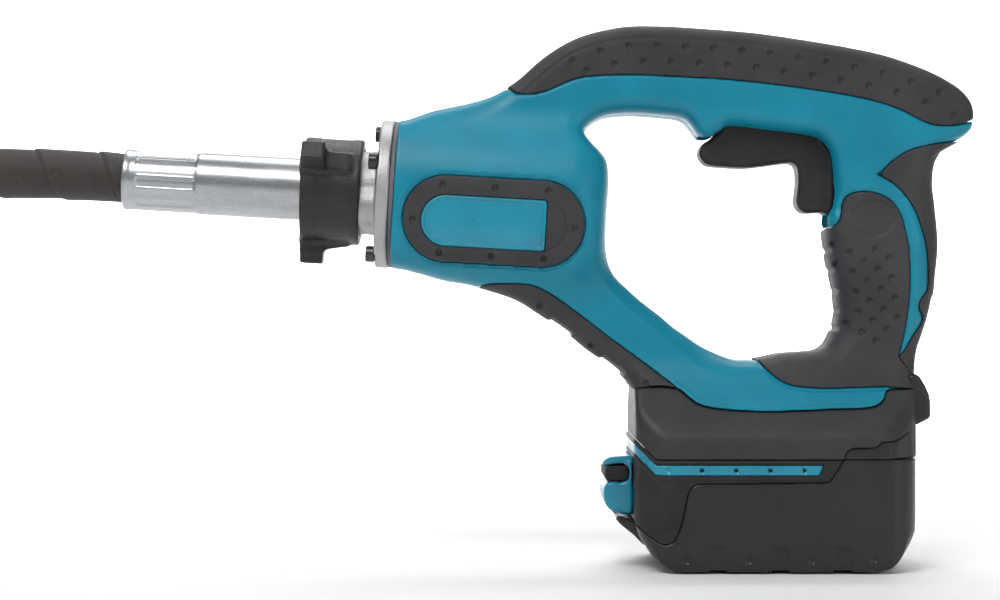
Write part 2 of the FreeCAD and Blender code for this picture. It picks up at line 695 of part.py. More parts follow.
def battery_form(inset):
    """The battery's outer form, or its hollow when inset."""
    x0, x1 = BATTERY_SPAN
    form = rounded_box((x0 + inset, x1 - inset), BATTERY_HALF_WIDTH - inset,
                       (-1, BATTERY_TOP), 9 - inset)
    for profile, across in ((BATTERY_PROFILE, False), (BATTERY_END_PROFILE, True)):
        if across:
            points = [V(0, y, z) for y, z in profile]
        else:
            points = [V(x, -60, z) for x, z in profile]
        outline = Part.makePolygon(points + points[:1])
        if inset:
            outline = outline.makeOffset2D(-inset)
        way = V(200, 0, 0) if across else V(0, 120, 0)
        form = form.common(Part.Face(outline).extrude(way))
    return form


def battery_case():
    """Lower case, top cover and coloured stripe."""
    outer = battery_form(0)
    hollow = battery_form(BATTERY_WALL).common(box((0, 200), (-60, 60), (0, CHANNEL_FLOOR - 1.5)))
    toe = side_prism(TOE_PROFILE, 21)
    stem_slot = box((33, 37.9), (-6.4, 6.4), (22.2, 44.5))
    below = box((0, 200), (-60, 60), (-5, CASE_PARTING))
    lower = outer.fuse(toe).common(below).cut(hollow).cut(stem_slot)
    bosses = []
    for x, y in BATTERY_SCREW_PLACES:
        tower = Part.makeCylinder(3.4, CASE_PARTING, V(x, y, 0), V(0, 0, 1))
        bosses.append(tower.common(outer))
    lower = fused([lower] + bosses)
    for x, y in BATTERY_SCREW_PLACES:
        lower = lower.cut(Part.makeCylinder(1.35, 60, V(x, y, -1), V(0, 0, 1)))
        lower = lower.cut(Part.makeCylinder(2.7, 10, V(x, y, -1), V(0, 0, 1)))
    upper = outer.cut(below).cut(hollow).cut(stem_slot)
    wide = box((52, 160), (-24, 24), (CHANNEL_FLOOR, 42.8))
    narrow = box((52, 160), (-20.8, 20.8), (CHANNEL_FLOOR, 50))
    upper = upper.cut(wide).cut(narrow)
    band = box((0, 112), (-60, 60), STRIPE_Z)
    stripe = outer.cut(battery_form(STRIPE_DEPTH)).common(band).cut(stem_slot)
    upper = upper.cut(stripe)
    return {"battery_lower_case": largest(lower), "battery_top_cover": largest(upper),
            "battery_stripe": group(stripe.Solids)}


def battery_screws():
    screws = []
    for x, y in BATTERY_SCREW_PLACES:
        head = Part.makeCylinder(2.6, 2.2, V(x, y, 6.8), V(0, 0, 1))
        shank = Part.makeCylinder(1.3, 21.5, V(x, y, 9.0), V(0, 0, 1))
        recess = Part.makeCylinder(1.0, 1.2, V(x, y, 6.8), V(0, 0, 1))
        screws.append(head.fuse(shank).cut(recess))
    return group(screws)


def battery_cells():
    """Ten cylindrical cells lying across the pack in two rows of five."""
    cells = []
    for z in CELL_ROWS:
        for i in range(5):
            x = 54.3 + i * CELL_PITCH
            cell = Part.makeCylinder(CELL_RADIUS, 63, V(x, -31.8, z), V(0, 1, 0))
            nub = Part.makeCylinder(3, 0.7, V(x, 31.2, z), V(0, 1, 0))
            cells.append(cell.fuse(nub))
    return group(cells)


def cell_holders():
    """Insulating end frames over the cells' ends."""
    return group([box((45.5, 137.5), (32.1, 34.8), (9, 37)),
                  box((45.5, 137.5), (-34.8, -32.1), (9, 37))])


def battery_terminals():
    """Spring clips in the battery's channel, one round each blade."""
    clips = []
    for y in (-BLADE_Y, BLADE_Y):
        floor = box((54, 68), (y - 2, y + 2), (CHANNEL_FLOOR, 40.9))
        leaves = [box((54, 68), sorted((y + s * 0.8, y + s * 1.5)), (CHANNEL_FLOOR, 45.3))
                  for s in (-1, 1)]
        clips.append(fused([floor] + leaves))
    return group(clips)


# ---------------------------------------------------------------- latch
LATCH_BOTTOM = 24.4
LATCH_TOP = 43.0


def latch_button():
    """U-shaped release button with a guide stem in the case's front."""
    cheeks = [box((22.6, 33.7), sorted((side * 13.5, side * 17.0)), (LATCH_BOTTOM, 36))
              for side in (-1, 1)]
    floor = box((22.6, 33.7), (-17, 17), (LATCH_BOTTOM, 27.0))
    back = box((31.9, 33.7), (-17, 17), (LATCH_BOTTOM, LATCH_TOP))
    stem = box((33.6, 37.3), (-6, 6), (27.2, 41.5))
    return fused(cheeks + [floor, back, stem])


def latch_grip():
    """Ribbed finger bar held between the button's cheeks."""
    bar = box((23.4, 31.8), (-13.4, 13.4), (27.2, 37))
    lengthways = [e for e in bar.Edges if abs(e.tangentAt(0).y) > 0.99]
    return bar.makeFillet(2.2, [e for e in lengthways if e.CenterOfMass.x < 30])


def latch_spring():
    return coil_spring(V(35.4, 0, 22.7), 1.2, 0.4, 1.4, 4.2)


# ---------------------------------------------------------------- needle
HEAD_ORIGIN = V(*HOSE_ROUTE[-1])
HEAD_ALONG = (HEAD_ORIGIN - V(*HOSE_ROUTE[-2])).normalize()
HEAD_UP = V(0, 0, 1)
TUBE_RADIUS = 12.6
TUBE_BORE = 9.5
TUBE_SPAN = (16.0, 176.0)
HEAD_END = 194.0
WEIGHT_SPAN = (44.0, 146.0)


def hose():
    return tube_along(HOSE_ROUTE, HOSE_RADIUS, "hose")


def head_ferrule():
    r = HEAD_RADIUS
    return turned([
        (-28, HOSE_RADIUS + 0.1), (-28, r - 0.8), (-27.2, r), (TUBE_SPAN[0], r),
        (TUBE_SPAN[0], TUBE_BORE - 0.1), (TUBE_SPAN[0] + 10, TUBE_BORE - 0.1),
        (TUBE_SPAN[0] + 10, 5), (0.2, 5), (0.2, HOSE_RADIUS + 0.1)],
        HEAD_ORIGIN, HEAD_ALONG, HEAD_UP)


def head_tube():
    return disc(TUBE_SPAN[0], TUBE_SPAN[1], TUBE_RADIUS, TUBE_BORE, HEAD_ORIGIN, HEAD_ALONG)


def head_tip():
    start = TUBE_SPAN[1]
    r = TUBE_RADIUS
    return turned([
        (start - 10, 0), (start - 10, TUBE_BORE - 0.1), (start, TUBE_BORE - 0.1), (start, r),
        (HEAD_END - 9, r), (HEAD_END - 4, r - 2.2), (HEAD_END - 1, r - 6), (HEAD_END, r - 9),
        (HEAD_END, 0)], HEAD_ORIGIN, HEAD_ALONG, HEAD_UP)


def head_bearings():
    pair = []
    for start in (33.0, 150.0):
        pair += ball_bearing(start, start + 6, TUBE_BORE - 0.05, FLEX_RADIUS + 0.02,
                             HEAD_ORIGIN, HEAD_ALONG, HEAD_UP).Solids
    return group(pair)


def eccentric_weight():
    """Shaft with a half-round weight that hangs below its axis."""
    shaft = disc(28, 160, FLEX_RADIUS, 0, HEAD_ORIGIN, HEAD_ALONG)
    drum = disc(WEIGHT_SPAN[0], WEIGHT_SPAN[1], 8.8, 0, HEAD_ORIGIN, HEAD_ALONG)
    below = box((-400, 0), (-300, 0), (0, HEAD_ORIGIN.z))
    return shaft.fuse(drum.common(below))


# ---------------------------------------------------------------- output
SINGLE_PIECES = [
    housing_screws, front_flange, flange_gasket, flange_screws, ferrule, seal_ring,
    coupling_collar, motor_can, motor_magnets, rotor_core, rotor_windings, commutator,
    motor_end_bell, carbon_brushes, motor_shaft, fan, drive_coupler, flex_shaft_end,
    trigger_lever, trigger_pin, trigger_spring, switch_body, switch_plunger, base_housing,
    rear_bumper, terminal_block, battery_screws, battery_cells, cell_holders,
    battery_terminals, latch_button, latch_grip, latch_spring, hose, head_ferrule, head_tube,
    head_tip, head_bearings, eccentric_weight]


def build_all():
    nodes = {make.__name__: make() for make in SINGLE_PIECES}
    nodes["locating_pins"] = group(pin_cylinders(2.2))
    nodes["front_bearing"] = ball_bearing(*BEARING_SPAN, BEARING_RADIUS, SHAFT_BORE)
    nodes["rear_bearing"] = ball_bearing(70.5, 75.5, 6.5, SHAFT_BORE)
    nodes.update(badges())
    nodes.update(battery_case())
    nodes.update(clamshell())
    return nodes


os.makedirs("parts", exist_ok=True)
for node, shape in build_all().items():
    shape.exportStep("parts/" + node + ".step")
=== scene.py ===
"""Blender scene of a cordless concrete vibrator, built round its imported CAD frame.

Shapes are sculpted as distance fields in millimetres and meshed by OpenVDB, then scaled to
metres, so every piece lies where the CAD says.  x runs to the rear grip, y away from the
camera and z up.
"""
import json
import math

import bpy
import bmesh
import numpy as np
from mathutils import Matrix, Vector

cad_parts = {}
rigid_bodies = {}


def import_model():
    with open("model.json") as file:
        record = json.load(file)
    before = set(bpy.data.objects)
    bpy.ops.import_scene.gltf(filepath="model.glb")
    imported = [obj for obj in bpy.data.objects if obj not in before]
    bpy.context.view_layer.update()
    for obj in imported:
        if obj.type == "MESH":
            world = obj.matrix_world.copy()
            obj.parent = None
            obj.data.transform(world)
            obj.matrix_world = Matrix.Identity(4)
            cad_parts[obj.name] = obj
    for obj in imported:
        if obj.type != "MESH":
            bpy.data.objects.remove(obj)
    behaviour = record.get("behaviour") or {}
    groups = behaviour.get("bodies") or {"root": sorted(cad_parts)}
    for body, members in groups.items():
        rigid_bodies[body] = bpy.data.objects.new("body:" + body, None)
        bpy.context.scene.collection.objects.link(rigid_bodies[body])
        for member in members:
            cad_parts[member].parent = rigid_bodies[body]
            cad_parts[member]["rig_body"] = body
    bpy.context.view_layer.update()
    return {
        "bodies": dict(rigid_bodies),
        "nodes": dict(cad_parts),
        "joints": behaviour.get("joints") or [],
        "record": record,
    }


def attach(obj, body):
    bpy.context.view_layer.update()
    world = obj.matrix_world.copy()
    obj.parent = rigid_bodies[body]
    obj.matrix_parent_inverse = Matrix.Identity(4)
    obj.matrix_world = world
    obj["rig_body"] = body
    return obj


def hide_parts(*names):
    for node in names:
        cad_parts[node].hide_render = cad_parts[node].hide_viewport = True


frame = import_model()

import openvdb as vdb

MM = 0.001


# ---------------------------------------------------------------- distance-field kit
class Grid:
    """A box of sample points, in millimetres."""

    def __init__(self, low, high, step):
        self.low = np.array(low, dtype=np.float64)
        self.step = step
        counts = [int(math.ceil((b - a) / step)) + 1 for a, b in zip(low, high)]
        axes = [(self.low[i] + step * np.arange(counts[i])).astype(np.float32)
                for i in range(3)]
        self.x = axes[0][:, None, None]
        self.y = axes[1][None, :, None]
        self.z = axes[2][None, None, :]
        self.shape = tuple(counts)


def round_both(a, b, radius):
    """The distance to the corner where fields a and b both end, rounded."""
    a = a + radius
    b = b + radius
    outside = np.sqrt(np.maximum(a, 0) ** 2 + np.maximum(b, 0) ** 2)
    return np.minimum(np.maximum(a, b), 0) + outside - radius


def join(a, b, blend):
    """Union of two fields with a fillet of about the blend's size."""
    overlap = np.maximum(blend - np.abs(a - b), 0) / blend
    return np.minimum(a, b) - overlap * overlap * blend / 4


def carve(a, b, blend=0.0):
    """Field a without field b, its edges rounded by blend."""
    if not blend:
        return np.maximum(a, -b)
    return -join(-a, b, blend)


def keep(a, b, blend=0.0):
    """The part of field a inside field b, its edges rounded by blend."""
    if not blend:
        return np.maximum(a, b)
    return -join(-a, -b, blend)


def ramp(values, low, high):
    """A smooth step from 0 at low to 1 at high."""
    t = np.clip((values - low) / (high - low), 0, 1)
    return t * t * (3 - 2 * t)


def smooth_loop(points, step=1.2, closed=True):
    """A Catmull-Rom curve through given points."""
    points = np.array(points, dtype=float)
    count = len(points)
    out = []
    for i in range(count if closed else count - 1):
        if closed:
            a, b, c, d = (points[(i + k) % count] for k in (-1, 0, 1, 2))
        else:
            a, b, c, d = (points[min(max(i + k, 0), count - 1)] for k in (-1, 0, 1, 2))
        pieces = max(1, int(np.linalg.norm(c - b) / step))
        for k in range(pieces):
            t = k / pieces
            out.append(0.5 * (2 * b + (c - a) * t + (2 * a - 5 * b + 4 * c - d) * t ** 2
                              + (3 * b - a - 3 * c + d) * t ** 3))
    if not closed:
        out.append(points[-1])
    return np.array(out)


def outline_field(points, grid):
    """Signed distance to a side-view outline (x, z), spread across y."""
    x = grid.x[:, 0, 0][:, None].astype(np.float64)
    z = grid.z[0, 0, :][None, :].astype(np.float64)
    nearest = np.full((x.shape[0], z.shape[1]), 1e9)
    inside = np.zeros(nearest.shape, dtype=bool)
    following = np.roll(points, -1, axis=0)
    for (ax, az), (bx, bz) in zip(points, following):
        ex, ez = bx - ax, bz - az
        share = ((x - ax) * ex + (z - az) * ez) / (ex * ex + ez * ez + 1e-12)
        share = np.clip(share, 0, 1)
        gap = (x - ax - share * ex) ** 2 + (z - az - share * ez) ** 2
        nearest = np.minimum(nearest, gap)
        if az != bz:
            crosses = (az > z) != (bz > z)
            inside ^= crosses & (x < (bx - ax) * (z - az) / (bz - az) + ax)
    distance = np.sqrt(nearest)
    distance[inside] *= -1
    return distance.astype(np.float32)[:, None, :]


def block(grid, low, high, rounding=0.0):
    """A box field with rounded edges."""
    gaps = [np.maximum(low[i] - axis, axis - high[i]) + rounding
            for i, axis in enumerate((grid.x, grid.y, grid.z))]
    outside = np.sqrt(sum(np.maximum(gap, 0) ** 2 for gap in gaps))
    inside = np.minimum(np.maximum(np.maximum(gaps[0], gaps[1]), gaps[2]), 0)
    return outside + inside - rounding


def rod(grid, start, end, radius, rounding=0.0):
    """A cylinder field between two points."""
    start = np.array(start, dtype=float)
    way = np.array(end, dtype=float) - start
    length = np.linalg.norm(way)
    way /= length
    dx, dy, dz = grid.x - start[0], grid.y - start[1], grid.z - start[2]
    along = dx * way[0] + dy * way[1] + dz * way[2]
    across = np.sqrt(np.maximum(dx ** 2 + dy ** 2 + dz ** 2 - along ** 2, 0))
    ends = np.maximum(-along, along - length)
    return round_both(ends, across - radius, rounding)


def dimple(grid, places, radius=1.45, depth=1.25):
    """How far to push a surface in for round dimples at side-view places (x, z)."""
    push = np.zeros((grid.shape[0], 1, grid.shape[2]), dtype=np.float32)
    for cx, cz in places:
        gap = ((grid.x - cx) ** 2 + (grid.z - cz) ** 2) / radius ** 2
        push += depth * np.maximum(1 - gap, 0) ** 0.75
    return push


def piece_from(name, field, grid, material, body):
    """Mesh a field's zero surface as a Blender object that rides on a body."""
    limit = 3 * grid.step
    values = np.clip(np.broadcast_to(field, grid.shape), -limit, limit).astype(np.float32)
    values = np.pad(values, 1, constant_values=limit)
    volume = vdb.FloatGrid(limit)
    volume.copyFromArray(values)
    points, triangles, quads = volume.convertToPolygons(0.0, 0.0)
    points = (points.astype(np.float64) - 1) * grid.step + grid.low
    return object_from(name, points * MM, triangles, quads, material, body)


def object_from(name, points, triangles, quads, material, body):
    """A smooth-shaded Blender object from points in metres and its faces, facing outwards."""
    name = "form_" + name
    mesh = bpy.data.meshes.new(name)
    corners = np.concatenate([triangles.reshape(-1), quads.reshape(-1)]).astype(np.int32)
    sizes = np.concatenate([np.full(len(triangles), 3), np.full(len(quads), 4)])
    starts = np.concatenate([[0], np.cumsum(sizes)[:-1]]).astype(np.int32)
    mesh.vertices.add(len(points))
    mesh.vertices.foreach_set("co", points.astype(np.float32).reshape(-1))
    mesh.loops.add(len(corners))
    mesh.loops.foreach_set("vertex_index", corners)
    mesh.polygons.add(len(sizes))
    mesh.polygons.foreach_set("loop_start", starts)
    mesh.polygons.foreach_set("use_smooth", np.ones(len(sizes), dtype=bool))
    mesh.update(calc_edges=True)
    mesh.validate()
    work = bmesh.new()
    work.from_mesh(mesh)
    if work.calc_volume(signed=True) < 0:
        bmesh.ops.reverse_faces(work, faces=work.faces)
    work.to_mesh(mesh)
    work.free()
    thing = bpy.data.objects.new(name, mesh)
    bpy.context.scene.collection.objects.link(thing)
    thing.data.materials.append(material)
    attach(thing, body)
    return thing


def stand_for(piece, slot, *nodes):
    """Hide the CAD nodes that a piece stands for. The slot is not used."""
    if nodes:
        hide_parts(*nodes)
    return piece


def flip(piece):
    """Mirror a piece to the other side of the tool."""
    piece.data.transform(Matrix.Diagonal((1, -1, 1, 1)))
    piece.data.flip_normals()


def mirrored_piece(piece, name):
    """A copy of a piece on the other side of the tool."""
    copy = bpy.data.objects.new("form_" + name, piece.data.copy())
    flip(copy)
    bpy.context.scene.collection.objects.link(copy)
    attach(copy, piece["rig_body"])
    return copy


# ---------------------------------------------------------------- camera, floor and light
EYE = (-0.0211, -0.93, 0.1112)      # the camera's place, in metres
LENS = 79.02
FLOOR_REACH = 9.0                   # to the sides and the front
SWEEP_FROM = 3.4                    # where the floor starts to rise behind the tool
SWEEP_RADIUS = 1.2
WALL_TOP = 5.0
SKY = 0.36


def camera():
    """The photograph's view: level, and nearly square on to the tool's left side."""
    data = bpy.data.cameras.new("camera")
    data.lens = LENS
    data.sensor_width = 36
    data.clip_start = 0.01
    thing = bpy.data.objects.new("camera", data)
    thing.location = EYE
    thing.rotation_euler = (math.radians(90), 0, 0)
    bpy.context.scene.collection.objects.link(thing)
    bpy.context.scene.camera = thing


def area_light(name, place, aim, size, power, spread=180):
    """A soft box in metres and watts that the camera itself doesn't see."""
    data = bpy.data.lights.new(name, "AREA")
    data.shape = "RECTANGLE"
    data.size, data.size_y = size
    data.energy = power
    data.spread = math.radians(spread)
    thing = bpy.data.objects.new(name, data)
    thing.location = place
    way = Vector(aim) - Vector(place)
    thing.rotation_euler = way.to_track_quat("-Z", "Y").to_euler()
    thing.visible_camera = False
    bpy.context.scene.collection.objects.link(thing)


class Nodes:
    """Short names for building a material's nodes."""

    def __init__(self, name, scale=1.0, stretch=(1, 1, 1)):
        self.material = bpy.data.materials.new(name)
        self.material.use_nodes = True
        self.tree = self.material.node_tree
        self.shader = self.tree.nodes["Principled BSDF"]
        coords = self.tree.nodes.new("ShaderNodeTexCoord")
        mapping = self.tree.nodes.new("ShaderNodeMapping")
        mapping.inputs["Scale"].default_value = [scale * s for s in stretch]
        self.tree.links.new(coords.outputs["Object"], mapping.inputs["Vector"])
        self.place = mapping.outputs["Vector"]

    def link(self, source, node, socket):
        self.tree.links.new(source, node.inputs[socket])

    def noise(self, scale, detail=3.0, roughness=0.5, distortion=0.0):
        node = self.tree.nodes.new("ShaderNodeTexNoise")
        node.inputs["Scale"].default_value = scale
        node.inputs["Detail"].default_value = detail
        node.inputs["Roughness"].default_value = roughness
        node.inputs["Distortion"].default_value = distortion
        self.link(self.place, node, "Vector")
        return node.outputs["Fac"]

    def cells(self, scale, randomness=1.0, feature="F1"):
        node = self.tree.nodes.new("ShaderNodeTexVoronoi")
        node.feature = feature
        node.inputs["Scale"].default_value = scale
        node.inputs["Randomness"].default_value = randomness
        self.link(self.place, node, "Vector")
        return node.outputs["Distance"]

    def wave(self, scale, direction="Z", distortion=0.0):
        node = self.tree.nodes.new("ShaderNodeTexWave")
        node.bands_direction = direction
        node.inputs["Scale"].default_value = scale
        node.inputs["Distortion"].default_value = distortion
        self.link(self.place, node, "Vector")
        return node.outputs["Fac"]

    def span(self, source, low, high, to_low, to_high):
        """Map source from low..high to to_low..to_high, clamped."""
        node = self.tree.nodes.new("ShaderNodeMapRange")
        self.link(source, node, "Value")
        for socket, value in (("From Min", low), ("From Max", high),
                              ("To Min", to_low), ("To Max", to_high)):
            node.inputs[socket].default_value = value
        return node.outputs["Result"]

    def sum(self, a, b, share):
        """a plus share times b."""
        node = self.tree.nodes.new("ShaderNodeMath")
        node.operation = "MULTIPLY_ADD"
        self.link(b, node, 0)
        node.inputs[1].default_value = share
        self.link(a, node, 2)
        return node.outputs[0]

    def mix(self, factor, first, second):
        node = self.tree.nodes.new("ShaderNodeMix")
        node.data_type = "RGBA"
        self.link(factor, node, "Factor")
        for socket, colour in ((6, first), (7, second)):
            if hasattr(colour, "links"):
                self.tree.links.new(colour, node.inputs[socket])
            else:
                node.inputs[socket].default_value = (*colour, 1)
        return node.outputs[2]

    def bump(self, height, strength, depth):
        node = self.tree.nodes.new("ShaderNodeBump")
        node.inputs["Strength"].default_value = strength
        node.inputs["Distance"].default_value = depth
        self.link(height, node, "Height")
        self.link(node.outputs["Normal"], self.shader, "Normal")


def moulded(name, dark, light, rough, grain, depth, scuff, strength=0.5, **sockets):
    """Moulded plastic or rubber: spark-eroded grain, faint mottling and fine scuffs."""
    n = Nodes(name)
    shader = n.shader
    mottle = n.noise(38, 4, 0.55)
    colour = n.mix(n.span(mottle, 0.35, 0.68, 0, 1), dark, light)
    dust = n.span(n.noise(900, 3, 0.7), 0.6, 0.82, 0, 1)
    marks = n.noise(160, 5, 0.72, 1.4)
    worn = n.span(marks, 0.6, 0.78, 0, 1)
    both = n.tree.nodes.new("ShaderNodeMath")
    both.operation = "MULTIPLY"
    n.link(dust, both, 0)
    n.link(worn, both, 1)
    n.link(n.mix(both.outputs[0], colour, scuff), shader, "Base Color")
    low, high = rough
    n.link(n.span(n.sum(n.noise(grain * 0.12, 4, 0.6), worn, 0.25), 0.3, 0.85, low, high),
           shader, "Roughness")
    height = n.sum(n.noise(grain, 2, 0.5), n.cells(grain * 0.62), 0.55)
    n.bump(n.sum(height, marks, 0.12), strength, depth)
    for socket, value in sockets.items():
        shader.inputs[socket.replace("_", " ")].default_value = value
    return n.material


def metal(name, dark, light, rough, grain, depth, stretch=(1, 1, 1), pits=0.0, strength=0.4):
    """Bare or plated metal with drawn or cast texture, stains and small pits."""
    n = Nodes(name, stretch=stretch)
    shader = n.shader
    shader.inputs["Metallic"].default_value = 1.0
    cloud = n.noise(55, 5, 0.6, 0.6)
    n.link(n.mix(n.span(cloud, 0.3, 0.72, 0, 1), dark, light), shader, "Base Color")
    fine = n.noise(grain, 3, 0.6)
    low, high = rough
    n.link(n.span(n.sum(cloud, fine, 0.6), 0.5, 1.1, low, high), shader, "Roughness")
    height = n.sum(fine, n.cells(grain * 0.5), pits)
    n.bump(height, strength, depth)
    return n.material


TEAL = moulded("teal_plastic", (0.0012, 0.200, 0.300), (0.0022, 0.245, 0.355),
               (0.34, 0.50), 3400, 0.00006, (0.10, 0.42, 0.52), strength=0.30,
               Specular_IOR_Level=0.3, Coat_Weight=0.08, Coat_Roughness=0.3)
RUBBER = moulded("grip_rubber", (0.030, 0.0285, 0.032), (0.046, 0.044, 0.049),
                 (0.50, 0.68), 2600, 0.00010, (0.11, 0.108, 0.112), strength=0.55,
                 Specular_IOR_Level=0.34)
TEAL_TRIM = moulded("teal_trim", (0.0018, 0.215, 0.33), (0.0034, 0.27, 0.385),
                    (0.26, 0.42), 3800, 0.00004, (0.12, 0.42, 0.52), strength=0.25,
                    Coat_Weight=0.2, Coat_Roughness=0.2)
BLACK_MATTE = moulded("black_plastic", (0.017, 0.017, 0.0185), (0.028, 0.028, 0.030),
                      (0.42, 0.58), 2800, 0.00008, (0.08, 0.08, 0.083), strength=0.5,
                      Specular_IOR_Level=0.22)
BASE_PLASTIC = moulded("base_plastic", (0.022, 0.022, 0.024), (0.034, 0.034, 0.036),
                       (0.44, 0.58), 2600, 0.00009, (0.09, 0.09, 0.093), strength=0.55,
                       Specular_IOR_Level=0.42)
BLACK_GLOSS = moulded("case_plastic", (0.0085, 0.0085, 0.0095), (0.014, 0.014, 0.015),
                      (0.28, 0.42), 3300, 0.00005, (0.06, 0.06, 0.063), strength=0.3)
COLLAR_PLASTIC = moulded("collar_plastic", (0.008, 0.008, 0.009), (0.018, 0.018, 0.019),
                         (0.36, 0.56), 1500, 0.00022, (0.10, 0.10, 0.10), strength=0.7)
ZINC = metal("zinc_plate", (0.36, 0.375, 0.39), (0.50, 0.515, 0.53), (0.22, 0.36), 620,
             0.00002, stretch=(0.25, 1, 1), strength=0.2)
CAST = metal("cast_aluminium", (0.36, 0.362, 0.365), (0.48, 0.482, 0.485), (0.42, 0.60), 1900,
             0.00012, pits=0.8, strength=0.6)
STEEL = metal("bright_steel", (0.50, 0.51, 0.52), (0.68, 0.69, 0.70), (0.14, 0.32), 1100,
              0.00003, stretch=(0.2, 1, 1))
BLACK_STEEL = metal("black_steel", (0.05, 0.052, 0.056), (0.11, 0.112, 0.118),
                    (0.24, 0.44), 1600, 0.00004)


def hose_rubber():
    """Cloth-wrapped rubber: fine crossed threads over a dull brown-black ground."""
    n = Nodes("hose_rubber")
    shader = n.shader
    cloud = n.noise(70, 5, 0.62)
    ground = n.mix(n.span(cloud, 0.3, 0.7, 0, 1), (0.022, 0.0185, 0.016), (0.044, 0.038, 0.034))
    chalk = n.span(n.noise(480, 4, 0.75, 0.8), 0.58, 0.80, 0, 0.55)
    n.link(n.mix(chalk, ground, (0.115, 0.105, 0.095)), shader, "Base Color")
    n.link(n.span(cloud, 0.3, 0.75, 0.52, 0.74), shader, "Roughness")
    threads = n.sum(n.wave(420, "X", 0.6), n.wave(420, "DIAGONAL", 0.6), 0.8)
    n.bump(n.sum(threads, n.noise(1500, 3, 0.6), 1.2), 0.5, 0.00016)
    return n.material


HOSE_RUBBER = hose_rubber()


def pale_surface():
    """The floor's matt, almost even white."""
    n = Nodes("pale_floor")
    colour = n.mix(n.span(n.noise(6, 3, 0.5), 0.3, 0.7, 0, 1), (0.86, 0.86, 0.86),
                   (0.89, 0.89, 0.89))
    n.link(colour, n.shader, "Base Color")
    n.link(n.span(n.noise(120, 3, 0.5), 0.3, 0.7, 0.62, 0.78), n.shader, "Roughness")
    return n.material


def studio():
    """A pale floor that sweeps up behind the tool, soft boxes and an even sky."""
    profile = [(-FLOOR_REACH, 0.0), (SWEEP_FROM, 0.0)]
    for degrees in range(6, 91, 6):
        turn = math.radians(degrees)
        profile.append((SWEEP_FROM + SWEEP_RADIUS * math.sin(turn),
                        SWEEP_RADIUS - SWEEP_RADIUS * math.cos(turn)))
    profile.append((SWEEP_FROM + SWEEP_RADIUS, WALL_TOP))
    points = np.array([(x, y, z - 0.0005) for y, z in profile
                       for x in (-FLOOR_REACH, FLOOR_REACH)])
    quads = np.array([(2 * i, 2 * i + 1, 2 * i + 3, 2 * i + 2)
                      for i in range(len(profile) - 1)])
    mesh = bpy.data.meshes.new("floor")
    mesh.from_pydata(points.tolist(), [], quads.tolist())
    mesh.polygons.foreach_set("use_smooth", [True] * len(mesh.polygons))
    mesh.materials.append(pale_surface())
    floor = bpy.data.objects.new("floor", mesh)
    bpy.context.scene.collection.objects.link(floor)
    world = bpy.data.worlds.new("studio")
    world.use_nodes = True
    sky = world.node_tree.nodes["Background"]
    sky.inputs["Color"].default_value = (1, 1, 1, 1)
    sky.inputs["Strength"].default_value = SKY
    bpy.context.scene.world = world
    aim = (-0.02, 0.0, 0.12)
    area_light("key", (-0.45, -0.9, 1.25), aim, (0.9, 0.5), 12.5)
    area_light("fill", (1.1, -1.2, 0.5), aim, (0.8, 1.0), 3.2)
    area_light("top", (0.1, 0.35, 1.4), aim, (1.2, 0.5), 5)
    area_light("ground", (0.0, 2.4, 2.6), (0, 2.4, 0), (4.4, 2.2), 130, spread=80)
    area_light("back", (0.0, 3.2, 2.0), (0, 4.6, 0.7), (4.6, 0.8), 130)


camera()
studio()
bpy.context.scene.view_settings.view_transform = "Standard"


# ---------------------------------------------------------------- hose
# Route in millimetres: from inside the ferrule, down to the floor and round to the needle.
HOSE_ROUTE = [
    (-171.5, 0, 161.9), (-226, 0, 167.0), (-288, 0, 160), (-340, -1, 122), (-384, -4, 76),
    (-429, -13, 34), (-477, -38, 10.5), (-514, -82, 10.5), (-523, -141, 10.5),
    (-498, -194, 10.5), (-449, -226, 13), (-390, -226, 13)]
HOSE_RADIUS = 10.5
HOSE_STATION = 0.7
HOSE_SEGMENTS = 72
WRAP_PITCH = 27.0
WRAP_LAP = 0.6


def hose_line():
    """Points along the route's smooth curve, in millimetres."""
    data = bpy.data.curves.new("hose_line", "CURVE")
    data.dimensions = "3D"
    data.resolution_u = 40
    spline = data.splines.new("NURBS")
    spline.points.add(len(HOSE_ROUTE) - 1)
    for point, place in zip(spline.points, HOSE_ROUTE):
        point.co = (*[c * MM for c in place], 1)
    spline.order_u = 3
    spline.use_endpoint_u = True
    thing = bpy.data.objects.new("hose_line", data)
    mesh = bpy.data.meshes.new_from_object(thing)
    points = np.array([v.co for v in mesh.vertices]) / MM
    bpy.data.objects.remove(thing)
    bpy.data.curves.remove(data)
    bpy.data.meshes.remove(mesh)
    return points


